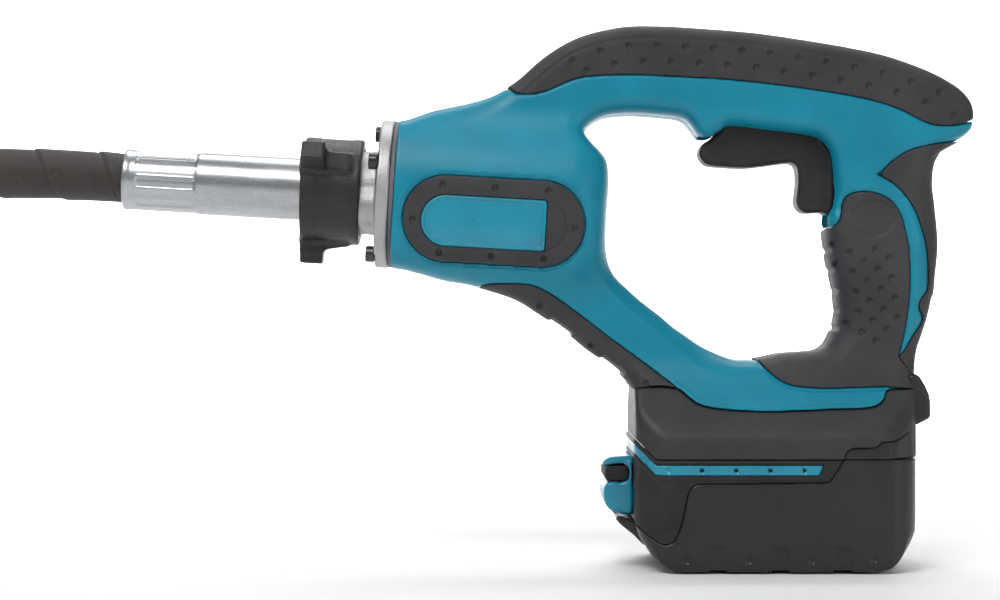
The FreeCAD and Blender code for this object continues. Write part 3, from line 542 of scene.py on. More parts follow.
def hose():
    """A wrapped hose whose tape laps itself once every WRAP_PITCH."""
    line = hose_line()
    gaps = np.linalg.norm(np.diff(line, axis=0), axis=1)
    travelled = np.concatenate([[0], np.cumsum(gaps)])
    count = int(travelled[-1] / HOSE_STATION)
    stations = np.linspace(0, travelled[-1], count + 1)
    centre = np.stack([np.interp(stations, travelled, line[:, i]) for i in range(3)], axis=1)
    way = np.gradient(centre, axis=0)
    way /= np.linalg.norm(way, axis=1)[:, None]
    side = np.array([0.0, 1.0, 0.0])
    segments = HOSE_SEGMENTS
    points = np.zeros((count + 1, segments, 3))
    turns = np.arange(segments) / segments
    for i in range(count + 1):
        side = side - way[i] * side.dot(way[i])
        side /= np.linalg.norm(side)
        up = np.cross(way[i], side)
        phase = (stations[i] / WRAP_PITCH - turns) % 1.0
        seam = np.exp(-(np.minimum(phase, 1 - phase) / 0.028) ** 2)
        lap = WRAP_LAP * (phase ** 1.5 - 0.45) - 0.5 * seam
        swell = 0.12 * np.sin(stations[i] / 9.1) * np.cos(2 * math.pi * turns + stations[i] / 31)
        radius = HOSE_RADIUS + lap + swell
        around = 2 * math.pi * turns
        points[i] = (centre[i] + radius[:, None] * (np.cos(around)[:, None] * side
                                                    + np.sin(around)[:, None] * up))
    i, j = np.meshgrid(np.arange(count), np.arange(segments), indexing="ij")
    beside = (j + 1) % segments
    quads = np.stack([i * segments + j, i * segments + beside, (i + 1) * segments + beside,
                      (i + 1) * segments + j], axis=-1).reshape(-1, 4)
    ends = np.array([centre[0], centre[-1]])
    total = (count + 1) * segments
    caps = []
    for j in range(segments):
        k = (j + 1) % segments
        caps.append((k, j, total))
        caps.append((count * segments + j, count * segments + k, total + 1))
    points = np.concatenate([points.reshape(-1, 3), ends])
    thing = object_from("hose", points * MM, np.array(caps), quads, HOSE_RUBBER, "drive_unit")
    return stand_for(thing, "hose_rubber", "hose"), line


HOSE, HOSE_LINE = hose()
HEAD_FROM = HOSE_LINE[-1]
HEAD_WAY = np.array([1.0, 0.0, 0.0])
HEAD_SIDE = np.array([0.0, 1.0, 0.0])


def on_head(along, radius=0.0, degrees=0.0):
    """A point by distance past the hose's far end, radius and angle (0 is -y, 90 is up)."""
    turn = math.radians(degrees)
    return (HEAD_FROM + HEAD_WAY * along - HEAD_SIDE * radius * math.cos(turn)
            + np.array([0, 0, 1]) * radius * math.sin(turn))


# ---------------------------------------------------------------- the drive axis
TILT = math.radians(3.26)
DRIVE_X, DRIVE_Z = -64.7, 155.8


def on_drive(along, radius=0.0, degrees=0.0):
    """A point by distance along the drive axis, radius and angle (0 is -y, 90 is up)."""
    turn = math.radians(degrees)
    up = radius * math.sin(turn)
    return (DRIVE_X + along * math.cos(TILT) + up * math.sin(TILT),
            -radius * math.cos(turn),
            DRIVE_Z - along * math.sin(TILT) + up * math.cos(TILT))


def drive(grid):
    """Distance along the drive axis and height above it."""
    dx, dz = grid.x - DRIVE_X, grid.z - DRIVE_Z
    return (dx * math.cos(TILT) - dz * math.sin(TILT),
            dx * math.sin(TILT) + dz * math.cos(TILT))


def lathe(name, profile, material, body, place, segments=144, dent=None):
    """Revolve a closed profile of (distance along, radius); dent gives a depth to push in."""
    places = []
    following = profile[1:] + profile[:1]
    for (a, ra), (b, rb) in zip(profile, following):
        pieces = max(1, int(math.hypot(b - a, rb - ra) / (0.5 if dent else 40)))
        places += [(a + (b - a) * k / pieces, ra + (rb - ra) * k / pieces)
                   for k in range(pieces)]
    rings = len(places)
    points = np.zeros((rings, segments, 3))
    for j in range(segments):
        degrees = 360 * j / segments
        for i, (along, radius) in enumerate(places):
            depth = dent(along, degrees, radius) if dent else 0
            points[i, j] = place(along, radius - depth, degrees)
    i, j = np.meshgrid(np.arange(rings), np.arange(segments), indexing="ij")
    following, beside = (i + 1) % rings, (j + 1) % segments
    quads = np.stack([i * segments + j, following * segments + j,
                      following * segments + beside, i * segments + beside], axis=-1)
    thing = object_from(name, points.reshape(-1, 3) * MM, np.zeros((0, 3), dtype=int),
                        quads.reshape(-1, 4), material, body)
    thing.data.set_sharp_from_angle(angle=math.radians(32))
    return thing


# ---------------------------------------------------------------- the body's outlines
# Side-view outlines in (x, z), with the camera's side towards the viewer.
FRAME_OUTLINE = [
    (-86, 160), (-86, 184), (-70, 186.4), (-61, 187.2), (-55, 189.4), (-48, 191.9),
    (-34.6, 195.1), (-24.4, 198.5),
    (-14.3, 204.4), (-4.1, 213.3), (6.1, 220.1), (16.2, 224.3), (31, 227.4), (46.7, 227.7),
    (67, 226.5), (87, 224.8), (108, 221.8), (128, 218.4), (143, 215), (158.6, 209.5),
    (168.8, 204.4), (174.5, 200.4), (178.9, 194.7), (180.0, 188), (178.4, 181.5),
    (172.6, 177.3), (165.4, 173.1), (162.8, 168.8), (162.3, 160.4), (163.7, 151.9),
    (165, 139), (165, 131), (164.1, 122), (163.3, 113.7), (161.6, 105.3), (159, 96.8),
    (155.6, 88.3), (154.2, 80), (153.5, 70), (152, 60), (130, 56), (60, 56), (36.5, 60),
    (34.4, 70), (33.2, 75.5), (26.4, 82.0), (16.2, 89.2), (6.1, 97.4), (-4.1, 104.2),
    (-14.3, 110.7), (-24.4, 114.5), (-34.6, 117.4), (-44.8, 119.2), (-56, 122.4),
    (-66, 124.6), (-86, 126)]
OPENING = [
    (14.5, 181.5), (17.5, 184.8), (21.3, 186.7), (26.4, 187.9), (36, 188.3), (46.7, 187.5),
    (54.5, 186.4), (57.5, 184), (60.9, 179.4), (63.6, 178.3), (66.4, 178.6), (71.6, 181.4),
    (76, 182.9), (90, 181.3), (106.5, 179.2), (112.8, 176.8), (116.4, 171), (117.3, 158),
    (116.4, 151.0), (114.5, 147.6), (114.5, 139), (116.2, 126.5), (118.3, 118),
    (119.6, 107), (118.8, 101), (117.1, 96.8), (115, 92.8), (112, 91), (107.8, 90.4),
    (97.6, 89.6), (91.2, 88.3), (87.5, 87.6), (80, 87.2), (74.3, 88.3), (64.5, 92.6),
    (58.2, 96.8), (52.2, 101), (47.2, 105.3), (41.7, 109.5), (36.6, 113.7), (31.9, 118),
    (27.7, 122.2), (25.1, 126.5), (23.6, 132), (23.4, 137), (23.9, 147.6), (24.7, 160),
    (23.9, 168.8), (21.3, 173), (17.1, 177.3)]
# What lies below this line is the black base.
BASE_LINE = [
    (20, 72.5), (33.8, 74.3), (44, 75.6), (52.2, 74.5), (56.3, 71.3), (60.4, 68.4),
    (66.5, 66.8), (76.6, 65.8), (88.9, 65.4), (101, 65.7), (117.4, 66.4), (128.8, 66.8),
    (133.7, 68), (136.9, 70.5), (139, 74.1), (147.1, 74.3), (170, 74.5)]
TOP_RUBBER = [
    (-19.4, 200.8), (-16.4, 199.0), (-14.4, 197.4), (-8.6, 196.9), (-2.3, 198.2), (3.9, 200.8),
    (10.2, 203.3), (16.4, 204.4), (24.8, 204.9), (37.3, 205), (53.9, 204.2),
    (70.6, 203.3), (87.3, 201.7), (104, 199.6), (120.6, 197.1), (133.1, 194.6),
    (141.5, 192.1), (147.7, 189.6), (154, 186.2), (160.2, 184.1), (166.5, 183.9),
    (172.7, 185), (176.1, 186.4), (188, 190)]
SIDE_PANEL = [
    (112, 140.4), (114.4, 140.3), (118.6, 142), (121.1, 145.3), (121.9, 150.7),
    (123.6, 154.4), (128.6, 156.1), (134.8, 155.7), (141, 152.8), (145.2, 147.4),
    (147.3, 140.3), (148.9, 132), (149.3, 119.5), (148.5, 107), (146.4, 94.6),
    (144.4, 87.9)]
TEAL_BAND = [
    (184, 182.6), (176.3, 180.6), (171.3, 177.9), (162.9, 176.6), (154.6, 175),
    (148.3, 172.9), (142, 168.7), (138.2, 164.9), (135.8, 163.5), (137.1, 162.8), (142.5, 159.9),
    (147.5, 154.9), (151.7, 148.7), (155, 140.3), (157.1, 132), (158, 121.6),
    (157.5, 115), (154.6, 111.6), (153.8, 107.8), (155.7, 102.9), (151.7, 96.6),
    (147.5, 90.4), (144.8, 87.9)]
FOOT_LINE = [
    (86.1, 87.0), (88.2, 84), (92.3, 79.9), (96.4, 77.2), (102.6, 75.5), (115, 74.9),
    (135.6, 75.5), (143.8, 75.1), (147.9, 74.7), (150, 73.6)]
STRUT_LINE = [
    (-31, 116.2), (-29.4, 116.9), (-25.2, 117.8), (-17, 117.9), (-8.7, 117.4),
    (-3.3, 115.3), (1.7, 112.4), (12.1, 105), (24.5, 95.4), (36.9, 86.3), (49.4, 76.8),
    (54.5, 72.4), (57.5, 69)]
PANEL_REAR = [(145.6, 86.0), (149.6, 80.0), (150.6, 73.2)]


def region(*runs):
    """A closed outline from smoothed runs, with straight joints between them."""
    return np.concatenate([smooth_loop(run, closed=False) for run in runs])


TOP_REGION = region(TOP_RUBBER, [(190, 245), (-60, 245)], [(-60, 203), (-24, 203)])
STRUT_REGION = region(STRUT_LINE, [(57.5, 55), (-40, 55)], [(-40, 112), (-34, 115)])
PANEL_REGION = region(SIDE_PANEL, PANEL_REAR, FOOT_LINE[::-1],
                      [(82, 88.5), (98, 92), (102, 120), (104, 140.4)])
REAR_REGION = region(TEAL_BAND, PANEL_REAR, [(160, 66), (200, 66)], [(200, 180), (190, 184)])
BASE_REGION = region(BASE_LINE, [(170, 20), (20, 20)])

FOOT_WIDTHS = ((56, 35.0), (66, 31.2), (70, 28.6), (75, 25.0), (80, 21.9), (85, 19.5),
               (90, 18.1), (95, 17.6), (100, 17.5), (240, 17.5))
BARREL_RADIUS = 31.35
BARREL_LENGTH = 87
FRAME_BLEND = 15.0
RUBBER_PROUD = 0.35
RUBBER_DEPTH = 2.6
WALL = 4.6
TOP_DIMPLES, TOP_PITCH = 14, 11.75
TRIGGER_SLOT = [
    (76, 196), (112, 194), (124, 186), (124.6, 170), (122.2, 156), (119.6, 148), (116, 140),
    (100, 140), (96, 160), (80, 160), (70, 176.5), (62, 178)]
SCREW_TOWERS = [(-2, 200), (36, 207), (140, 201), (140, 122), (4, 105), (60, 79)]
TOP_LINE = [p for p in FRAME_OUTLINE if p[1] > 189 and p[0] > -60]
# The badge's centre (along the drive axis, above it), its straight half and its end radius.
BADGE_AT = (41.7, -9.85)
BADGE_STRAIGHT = 19.8
BADGE_RADIUS = 17.6
BADGE_DIMPLES = [(-21.8, 13.6), (-0.2, 13.5), (21.7, 13.5), (-33.4, -1.2), (33.4, -1.2),
                 (-21.8, -14.3), (-0.3, -14.4), (21.3, -14.3)]


# The near half of the body looks bigger, so its outline is drawn a little small about the
# point that the camera faces.
EYE_X, EYE_Z = -21.1, 111.2
NEARNESS = 0.989
FRAME_LOOP = smooth_loop([(EYE_X + (x - EYE_X) * NEARNESS, EYE_Z + (z - EYE_Z) * NEARNESS)
                          for x, z in FRAME_OUTLINE])
OPENING_LOOP = smooth_loop(OPENING)


def body_field(grid):
    """The clamshell's outer surface: a barrel joined to the D-shaped frame."""
    z = grid.z[0, 0, :]
    widths = np.interp(z, *zip(*FOOT_WIDTHS))
    widths = np.convolve(np.pad(widths, 6, mode="edge"), np.ones(13) / 13, mode="valid")
    slope = np.gradient(widths, z)
    lean = np.sqrt(1 + slope ** 2)[None, None, :].astype(np.float32)
    across = (np.abs(grid.y) - widths[None, None, :].astype(np.float32)) / lean
    rim = outline_field(FRAME_LOOP, grid)
    hole = -outline_field(OPENING_LOOP, grid)
    edge = np.maximum(rim, hole)
    grip = ramp(grid.x, 92, 108) * (1 - ramp(grid.z, 148, 172)) * ramp(grid.z, 84, 98)
    frame = round_both(edge, across, 9.0 + 5.5 * grip)
    # The strut's inner edge is a flat bevel with a tight ridge instead.
    bevel = keep(keep(edge, across, 1.0), (hole + across + 7.6) / math.sqrt(2), 1.6)
    on_strut = (1 - ramp(grid.x, 62, 80)) * (1 - ramp(grid.z, 112, 132))
    on_strut = on_strut * ramp(hole - rim, 0, 4)
    on_strut = on_strut * (1 - ramp(-grid.x, -18, -8))
    frame = frame + on_strut * (bevel - frame)
    s = drive(grid)[0]
    barrel = barrel_side(grid)
    motor = round_both(s - BARREL_LENGTH, barrel, 14)
    both = join(motor, frame, FRAME_BLEND)
    # The blend swells the silhouette, which the outline and the opening trim back.
    nose = np.minimum(rim, barrel)
    both = keep(both, nose, 3.0)
    pivot = rod(grid, (67.8, -15.0, 182.9), (67.8, 15.0, 182.9), 4.9, 2.0)
    both = join(both, pivot, 3.0)
    both = keep(both, hole, 5.0)
    return keep(both, -s, 0.6)


def barrel_side(grid):
    """The barrel's side: round above its axis and squarer below it."""
    t = drive(grid)[1]
    square = np.abs(grid.y / BARREL_RADIUS)
    powers = 2.15 + 1.65 * ramp(-t, 0, 14)
    height = np.abs(t / BARREL_RADIUS)
    reach = (square ** powers + height ** powers) ** (1 / powers)
    return ((reach - 1) * BARREL_RADIUS).astype(np.float32)


def housing():
    """The near clamshell half, hollow, with pockets for rubber and badge and a trigger slot."""
    step = 0.6
    grid = Grid((-66, -42, 55), (184, 1.5, 231), step)
    body = body_field(grid)
    base = outline_field(BASE_REGION, grid)
    shell = body.copy()
    # The lip along the foot, and the raised edge where it meets the base.
    shell = shell - 0.5 * ramp(-base, -2.2, -1.4) * (1 - ramp(-base, -0.2, 0.2))
    zones = [outline_field(TOP_REGION, grid), outline_field(STRUT_REGION, grid),
             outline_field(PANEL_REGION, grid), outline_field(REAR_REGION, grid)]
    soft = np.minimum(np.minimum(zones[0], zones[1]), np.minimum(zones[2], zones[3]))
    near = np.minimum(np.minimum(zones[2], zones[3]), zones[0] + 0.7)
    shell = shell + 0.5 * (1 - ramp(near, 1.4, 1.9))
    shell = np.maximum(shell, -np.maximum(soft - 0.25, -(body + RUBBER_DEPTH)))
    badge = badge_zone(grid)
    shell = shell + 0.6 * (1 - ramp(badge, 1.4, 1.9))
    pocket = np.maximum(badge - 0.3, -(body + 1.6))
    shell = np.maximum(shell, -pocket)
    shell = keep(shell, -(base - 0.3), 0.4)
    slot = np.maximum(outline_field(smooth_loop(TRIGGER_SLOT), grid), np.abs(grid.y) - 8.9)
    shell = np.maximum(shell, -slot)
    shell = np.maximum(shell, -(body + WALL))
    return np.maximum(shell, grid.y + 0.12), grid


def badge_zone(grid):
    """A stadium round the badge, on the camera's side, in side view."""
    s, t = drive(grid)
    ds = np.maximum(np.abs(s - BADGE_AT[0]) - BADGE_STRAIGHT, 0)
    return np.sqrt(ds ** 2 + (t - BADGE_AT[1]) ** 2) - BADGE_RADIUS


def soft_piece(name, outline, low, high, nodes, detail):
    """A rubber overmould lying in a pocket of the body."""
    grid = Grid(low, high, 0.5)
    body = body_field(grid)
    zone = outline_field(outline, grid)
    field = keep(body - RUBBER_PROUD + detail(grid), zone, 0.7)
    field = np.maximum(field, -(body + RUBBER_DEPTH - 0.1))
    field = np.maximum(field, 0.3 - outline_field(BASE_REGION, grid))
    piece = piece_from(name, field, grid, RUBBER, "drive_unit")
    return stand_for(piece, "grip_rubber", *nodes)


# ---------------------------------------------------------------- clamshell and rubber
def clamshell():
    """Both halves of the casing. The screws enter on the side away from the camera."""
    shell, grid = housing()
    left = piece_from("housing_left", shell, grid, TEAL, "drive_unit")
    stand_for(left, "teal_housing", "housing_left")
    bores = None
    for x, z in SCREW_TOWERS:
        gap = np.sqrt((grid.x - x) ** 2 + (grid.z - z) ** 2)
        hole = np.maximum(gap - 3.5, grid.y + 10.5)
        bores = hole if bores is None else np.minimum(bores, hole)
    shell = carve(shell, bores, 0.8)
    right = piece_from("housing_right", shell, grid, TEAL, "drive_unit")
    flip(right)
    stand_for(right, "teal_housing", "housing_right")


def rubber():
    """The overmoulds. Each detail gives how far the rubber's surface is pushed in."""

    def top_detail(grid):
        crown = 0.55 * ramp(-outline_field(FRAME_LOOP, grid), 4.9, 6.1)
        spots = []
        for i in range(TOP_DIMPLES):
            x = 9 + TOP_PITCH * i
            spots.append((x, top_height(x) - 10.4))
            spots.append((x + 5.9, top_height(x + 5.9) - 17.0))
        return crown + dimple(grid, spots)

    soft_piece("top_grip", TOP_REGION, (-26, -20, 180), (184, 20, 231),
               ["top_grip_rubber"], top_detail)

    def strut_detail(grid):
        spots = dimple(grid, [(-4.5, 109.1), (17.1, 92.5), (39.1, 76.7)])
        recess = 0
        for ax, az, bx, bz in ((-0.3, 102.9, 8.8, 96.2), (20.9, 87.1, 30.4, 80.0)):
            along, length = unit(bx - ax, bz - az)
            u = (grid.x - ax) * along[0] + (grid.z - az) * along[1]
            v = -(grid.x - ax) * along[1] + (grid.z - az) * along[0]
            gap = round_both(np.abs(u - length / 2) - length / 2, np.abs(v) - 1.7, 0.8)
            recess = recess + 1.1 * (1 - ramp(gap, -0.6, 0.4))
        return spots + recess

    soft_piece("strut_grip", STRUT_REGION, (-36, -34, 62), (62, 34, 122),
               ["strut_rubber"], strut_detail)

    def rear_detail(grid):
        return 0.3 * ramp(-outline_field(FRAME_LOOP, grid), 4.4, 5.4)

    soft_piece("rear_grip", REAR_REGION, (138, -40, 62), (184, 40, 184),
               ["rear_grip_rubber"], rear_detail)

    def panel_detail(grid):
        spots = []
        for i in range(-2, 8):
            for j in range(-1, 8):
                x = 118.6 + 5.8 * i + 1.2 * j
                z = 134.5 - 3.5 * i - 8.3 * j
                if on_panel(x, z):
                    spots.append((x, z))
        spots += [(116.6, 131.8), (117.8, 123.4), (119.4, 114.8), (120.0, 106.8), (119.6, 99.4)]
        pad = np.sqrt(((grid.x - 134.2) / 10.0) ** 2 + ((grid.z - 145.2) / 8.6) ** 2)
        scoop = 0.85 * (1 - ramp(pad, 0.82, 1.0))
        return dimple(grid, spots) + scoop

    panel = soft_piece("side_grip_left", PANEL_REGION, (80, -40, 68), (153, 0, 160),
                       ["side_grip_rubber_left"], panel_detail)
    stand_for(mirrored_piece(panel, "side_grip_right"), "grip_rubber",
              "side_grip_rubber_right")


def unit(dx, dz):
    """A side-view direction of length one, and the length it had."""
    length = math.hypot(dx, dz)
    return (dx / length, dz / length), length


def top_height(x):
    """Height of the handle's top above x."""
    xs, zs = zip(*sorted(TOP_LINE))
    return float(np.interp(x, xs, zs))


def on_panel(x, z):
    """Whether a grip dimple at this place keeps clear of the panel's edges and thumb pad."""
    front = np.interp(z, (92, 97, 101, 107, 118, 126, 139, 148),
                      (119, 121, 122.5, 123, 121.5, 119.5, 118, 118))
    back = np.interp(z, (88, 94.6, 107, 119.5, 132, 140), (140, 142.5, 144.8, 145.6, 145, 143))
    pad = math.hypot((x - 134.5) / 12.0, (z - 143.2) / 10.0)
    return 94 < z < 138 and front < x < back and pad > 1


def badge():
    """Rubber ring and recessed plate on each side of the barrel, without any lettering."""
    step = 0.4
    grid = Grid((-66, -35, 121), (18, -14, 166), step)
    s, t = drive(grid)
    s, t = s - BADGE_AT[0], t - BADGE_AT[1] + 0.9
    barrel = body_field(grid)
    outer = badge_zone(grid)
    ds = np.maximum(-(s + 19.4), 0)
    left_end = np.sqrt(ds ** 2 + t ** 2) - 10.5
    window = keep(keep(left_end, np.abs(t) - 10.5, 0.2), s - 21.4, 1.2)
    face = barrel - 0.55
    spots = [on_drive(BADGE_AT[0] + a, BADGE_AT[1] + b, 90)[::2] for a, b in BADGE_DIMPLES]
    ring_face = face + dimple(grid, spots)
    arc = np.sqrt((s - 19.6) ** 2 + t ** 2) - 10.3
    arc_line = np.maximum(np.abs(arc) - 0.34, 22.6 - s)
    ring = keep(ring_face, outer, 0.9)
    ring = carve(ring, np.maximum(arc_line, -(face + 0.45)))
    ring = carve(ring, window - 0.2, 0.4)
    ring = np.maximum(ring, -(barrel + 1.4))
    both_sides("badge_ring", ring, grid, RUBBER, "grip_rubber")
    rim = 0.75 * ramp(-window, 1.1, 1.7)
    plate = keep(barrel - 0.45 + rim, window, 0.5)
    plate = np.maximum(plate, -(barrel + 1.4))
    both_sides("badge_plate", plate, grid, TEAL_TRIM, "teal_trim")


def both_sides(name, field, grid, material, slot):
    """A piece on the camera's side and its mirror image, named after their CAD nodes."""
    left = piece_from(name + "_left", field, grid, material, "drive_unit")
    stand_for(left, slot, name + "_left")
    stand_for(mirrored_piece(left, name + "_right"), slot, name + "_right")


# ---------------------------------------------------------------- front end
FLANGE_SCREWS = (25, 115, 205, 295)
SCREW_CIRCLE = 28.6
CRIMP_STEP, CRIMP_TURN = 45, 39
LUGS = (30, 150, 270)
COLLAR_BORE = 13.45


def front_end():
    """The cast flange with its screws and pins, the gasket, the ferrule and its washer."""
    step = 0.4
    grid = Grid((-84, -33, 122), (-62, 33, 190), step)
    s, t = drive(grid)
    radius = np.sqrt(grid.y ** 2 + t ** 2)
    plate = round_both(np.abs(s + 4.8) - 2.8, radius - 31.35, 1.0)
    neck = round_both(np.abs(s + 11) - 4.7, radius - 17.7, 0.6)
    boss = rod(grid, on_drive(-15.2, 12, -29), on_drive(-4, 12, -29), 9.6, 0.8)
    solid = join(plate, join(neck, boss, 1.5), 2.4)
    for angle in FLANGE_SCREWS:
        seat = rod(grid, on_drive(-12, SCREW_CIRCLE, angle),
                   on_drive(-7.2, SCREW_CIRCLE, angle), 4.2)
        solid = carve(solid, seat, 0.5)
        bore = rod(grid, on_drive(-12, SCREW_CIRCLE, angle),
                   on_drive(5, SCREW_CIRCLE, angle), 2.1)
        solid = carve(solid, bore)
    solid = np.maximum(solid, 11.2 - radius)
    piece = piece_from("front_flange", solid, grid, CAST, "drive_unit")
    stand_for(piece, "cast_aluminium", "front_flange")
    lathe_piece("flange_gasket", [(-1.9, 27.9), (-1.9, 30.7), (-1.7, 31.0), (-0.3, 31.0),
                                  (-0.1, 30.7), (-0.1, 27.9)],
                GASKET, "drive_unit", on_drive, ["flange_gasket"], "grip_rubber")

    def crimps(along, degrees, radius):
        """Eight long crimp dents round the ferrule's mouth end."""
        if radius < 12 or not -114.5 < along < -81:
            return 0
        off = (degrees - CRIMP_TURN + CRIMP_STEP / 2) % CRIMP_STEP - CRIMP_STEP / 2
        across = abs(off) * math.pi / 180 * 13
        ends = min(max((along + 109.6) / 1.2, 0), 1) * min(max((-83.9 - along) / 1.2, 0), 1)
        wall = min(max((2.25 - across) / 0.7, 0), 1)
        dent = 0.62 * wall * wall * (3 - 2 * wall) * ends
        edge = 0.16 * math.exp(-((across - 2.75) / 0.55) ** 2) * ends
        return dent - edge

    lathe_piece("ferrule", [
        (-115.2, 10.6), (-115.2, 12.1), (-114.9, 12.7), (-114.2, 13.0), (-112.9, 13.0),
        (-112.2, 12.75), (-111.6, 12.7), (-84.9, 12.7), (-84.2, 12.85), (-83.6, 13.15),
        (-83.0, 13.2), (-38.6, 13.2), (-38.6, 10.6), (-60, 10.6), (-106, 10.6)],
        ZINC, "drive_unit", on_drive, ["ferrule"], "zinc_steel", 216, crimps)
    lathe_piece("neck_washer", [(-15.6, 13.3), (-15.6, 17.2), (-15.3, 17.5), (-14.95, 17.5),
                                (-14.7, 17.2), (-14.7, 13.3)],
                STEEL, "drive_unit", on_drive, [], "zinc_steel")

    pins = []
    for angle in (-29, 151):
        grid = box_round(on_drive(-11.9, 17.5, angle), 5.5, 0.25)
        pin = rod(grid, on_drive(-11.9, 15, angle), on_drive(-11.9, 19.5, angle), 2.2, 0.5)
        pins.append(piece_from("pin", pin, grid, STEEL, "drive_unit"))
    joined(pins, "locating_pins", "drive_unit", ["locating_pins"], "zinc_steel")

    screws = []
    for angle in FLANGE_SCREWS:
        head = on_drive(-11.2, SCREW_CIRCLE, angle)
        foot = on_drive(-7.4, SCREW_CIRCLE, angle)
        screws.append(socket_screw(head, foot, 3.4, 1.75, BLACK_STEEL, "drive_unit"))
    joined(screws, "flange_screws", "drive_unit", ["flange_screws"], "black_steel")


def lathe_piece(name, profile, material, body, place, nodes, slot, segments=144, dent=None):
    """A turned piece that stands for CAD nodes."""
    piece = lathe(name, profile, material, body, place, segments, dent)
    return stand_for(piece, slot, *nodes)


def box_round(centre, reach, step):
    """A cubic grid round a point."""
    return Grid([c - reach for c in centre], [c + reach for c in centre], step)


def joined(pieces, name, body, nodes, slot):
    """Several meshes as one piece."""
    work = bmesh.new()
    for piece in pieces:
        work.from_mesh(piece.data)
    mesh = bpy.data.meshes.new("form_" + name)
    work.to_mesh(mesh)
    work.free()
    for material in pieces[0].data.materials:
        mesh.materials.append(material)
    for piece in pieces:
        bpy.data.objects.remove(piece)
    thing = bpy.data.objects.new("form_" + name, mesh)
    bpy.context.scene.collection.objects.link(thing)
    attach(thing, body)
    return stand_for(thing, slot, *nodes)


def socket_screw(head, foot, radius, key, material, body, recess=1.9):
    """A round-headed screw with a hexagon socket in its outer end."""
    head, foot = np.array(head), np.array(foot)
    way = (foot - head) / np.linalg.norm(foot - head)
    reach = np.linalg.norm(foot - head) + radius
    middle = (head + foot) / 2
    grid = box_round(middle, reach, 0.25)
    dx, dy, dz = (axis - c for axis, c in zip((grid.x, grid.y, grid.z), head))
    solid = rod(grid, head, foot, radius, 0.45)
    side = np.cross(way, (0.3, 0.1, 1.0))
    side /= np.linalg.norm(side)
    up = np.cross(way, side)
    hexagon = None
    for k in range(6):
        turn = math.radians(60 * k)
        edge = math.cos(turn) * side + math.sin(turn) * up
        flat = dx * edge[0] + dy * edge[1] + dz * edge[2] - key
        hexagon = flat if hexagon is None else np.maximum(hexagon, flat)
    along = dx * way[0] + dy * way[1] + dz * way[2]
    solid = carve(solid, np.maximum(hexagon, along - recess), 0.2)
    return piece_from("screw", solid, grid, material, body)


def collar():
    """Bayonet collar whose three lugs fade into ridges along it."""
    step = 0.42
    grid = Grid((-108, -34, 126), (-76, 34, 196), step)
    s, t = drive(grid)
    radius = np.sqrt(grid.y ** 2 + t ** 2)
    start, end = -39.3, -14.9
    body = round_both(np.abs(s - (start + end) / 2) - (end - start) / 2, radius - 22.0, 1.3)
    step_ring = round_both(np.abs(s - (start + 3.2)) - 3.2, radius - 22.25, 0.7)
    rear_ring = round_both(np.abs(s - (end - 2.2)) - 2.2, radius - 22.25, 0.7)
    body = join(body, np.minimum(step_ring, rear_ring), 0.6)
    for angle in LUGS:
        turn = math.radians(angle)
        out = -grid.y * math.cos(turn) + t * math.sin(turn)
        side = grid.y * math.sin(turn) + t * math.cos(turn)
        lug = round_both(np.maximum(np.abs(s - start - 4.85) - 4.85, np.abs(side) - 4.35),
                         np.maximum(out - 31.1, 12 - out), 1.1)
        share = np.clip((s - start - 4) / 17, 0, 1)
        ridge = np.maximum(np.abs(side) - 3.3 - share, out - (26.2 - 3.4 * share))
        ridge = round_both(ridge, np.maximum(np.abs(s - start - 10) - 10, 12 - out), 1.0)
        body = join(body, join(lug, ridge, 2.2), 2.4)
    body = np.maximum(body, COLLAR_BORE - radius)
    body = np.maximum(body, -np.maximum(radius - 18.1, -(s - (start + 17))))
    piece = piece_from("coupling_collar", body, grid, COLLAR_PLASTIC, "collar")
    stand_for(piece, "black_plastic", "coupling_collar")


# ---------------------------------------------------------------- trigger
TRIGGER_OUTLINE = [
    (62.6, 172.8), (64.2, 169.6), (67, 167.9), (73, 167.2), (82, 166.8), (90, 167.6),
    (97, 168.6), (101.6, 168.9), (103.9, 166.6), (104.3, 160), (103.6, 153), (104.6, 149.8),
    (107, 148), (111, 147.9), (114.6, 148.0), (117, 147.0), (119, 149), (119.8, 156), (119.9, 167),
    (118.8, 173.6), (115.5, 178.4), (111.5, 184), (96, 187.4), (80, 187.6), (73.6, 186.4),
    (71.0, 182.6), (67.4, 179), (64, 176.6)]


def trigger():
    """The lever, with a finger scoop and softened edges."""
    step = 0.4
    grid = Grid((60, -10, 144), (123, 10, 191), step)
    outline = outline_field(smooth_loop(TRIGGER_OUTLINE, 0.8), grid)
    lever = round_both(outline, np.abs(grid.y) - 8.0, 2.2)
    scoop = np.sqrt(((grid.x - 84) / 22) ** 2 + ((grid.z - 166) / 5.5) ** 2)
    lever = lever + 0.35 * (1 - ramp(scoop, 0.5, 1.0)) * ramp(-outline, -0.5, 1.5)
    edge = ramp(-outline, 2.2, 3.1) * 0.35
    lever = lever + edge * ramp(np.abs(grid.y), 5.5, 6.5)
    gap = np.sqrt((grid.x - 68.8) ** 2 + (grid.z - 182.8) ** 2)
    lever = np.maximum(lever, 2.15 - gap)
    piece = piece_from("trigger_lever", lever, grid, BLACK_MATTE, "trigger")
    stand_for(piece, "black_plastic", "trigger_lever")


# ---------------------------------------------------------------- base
BASE_SEAM = 46.26


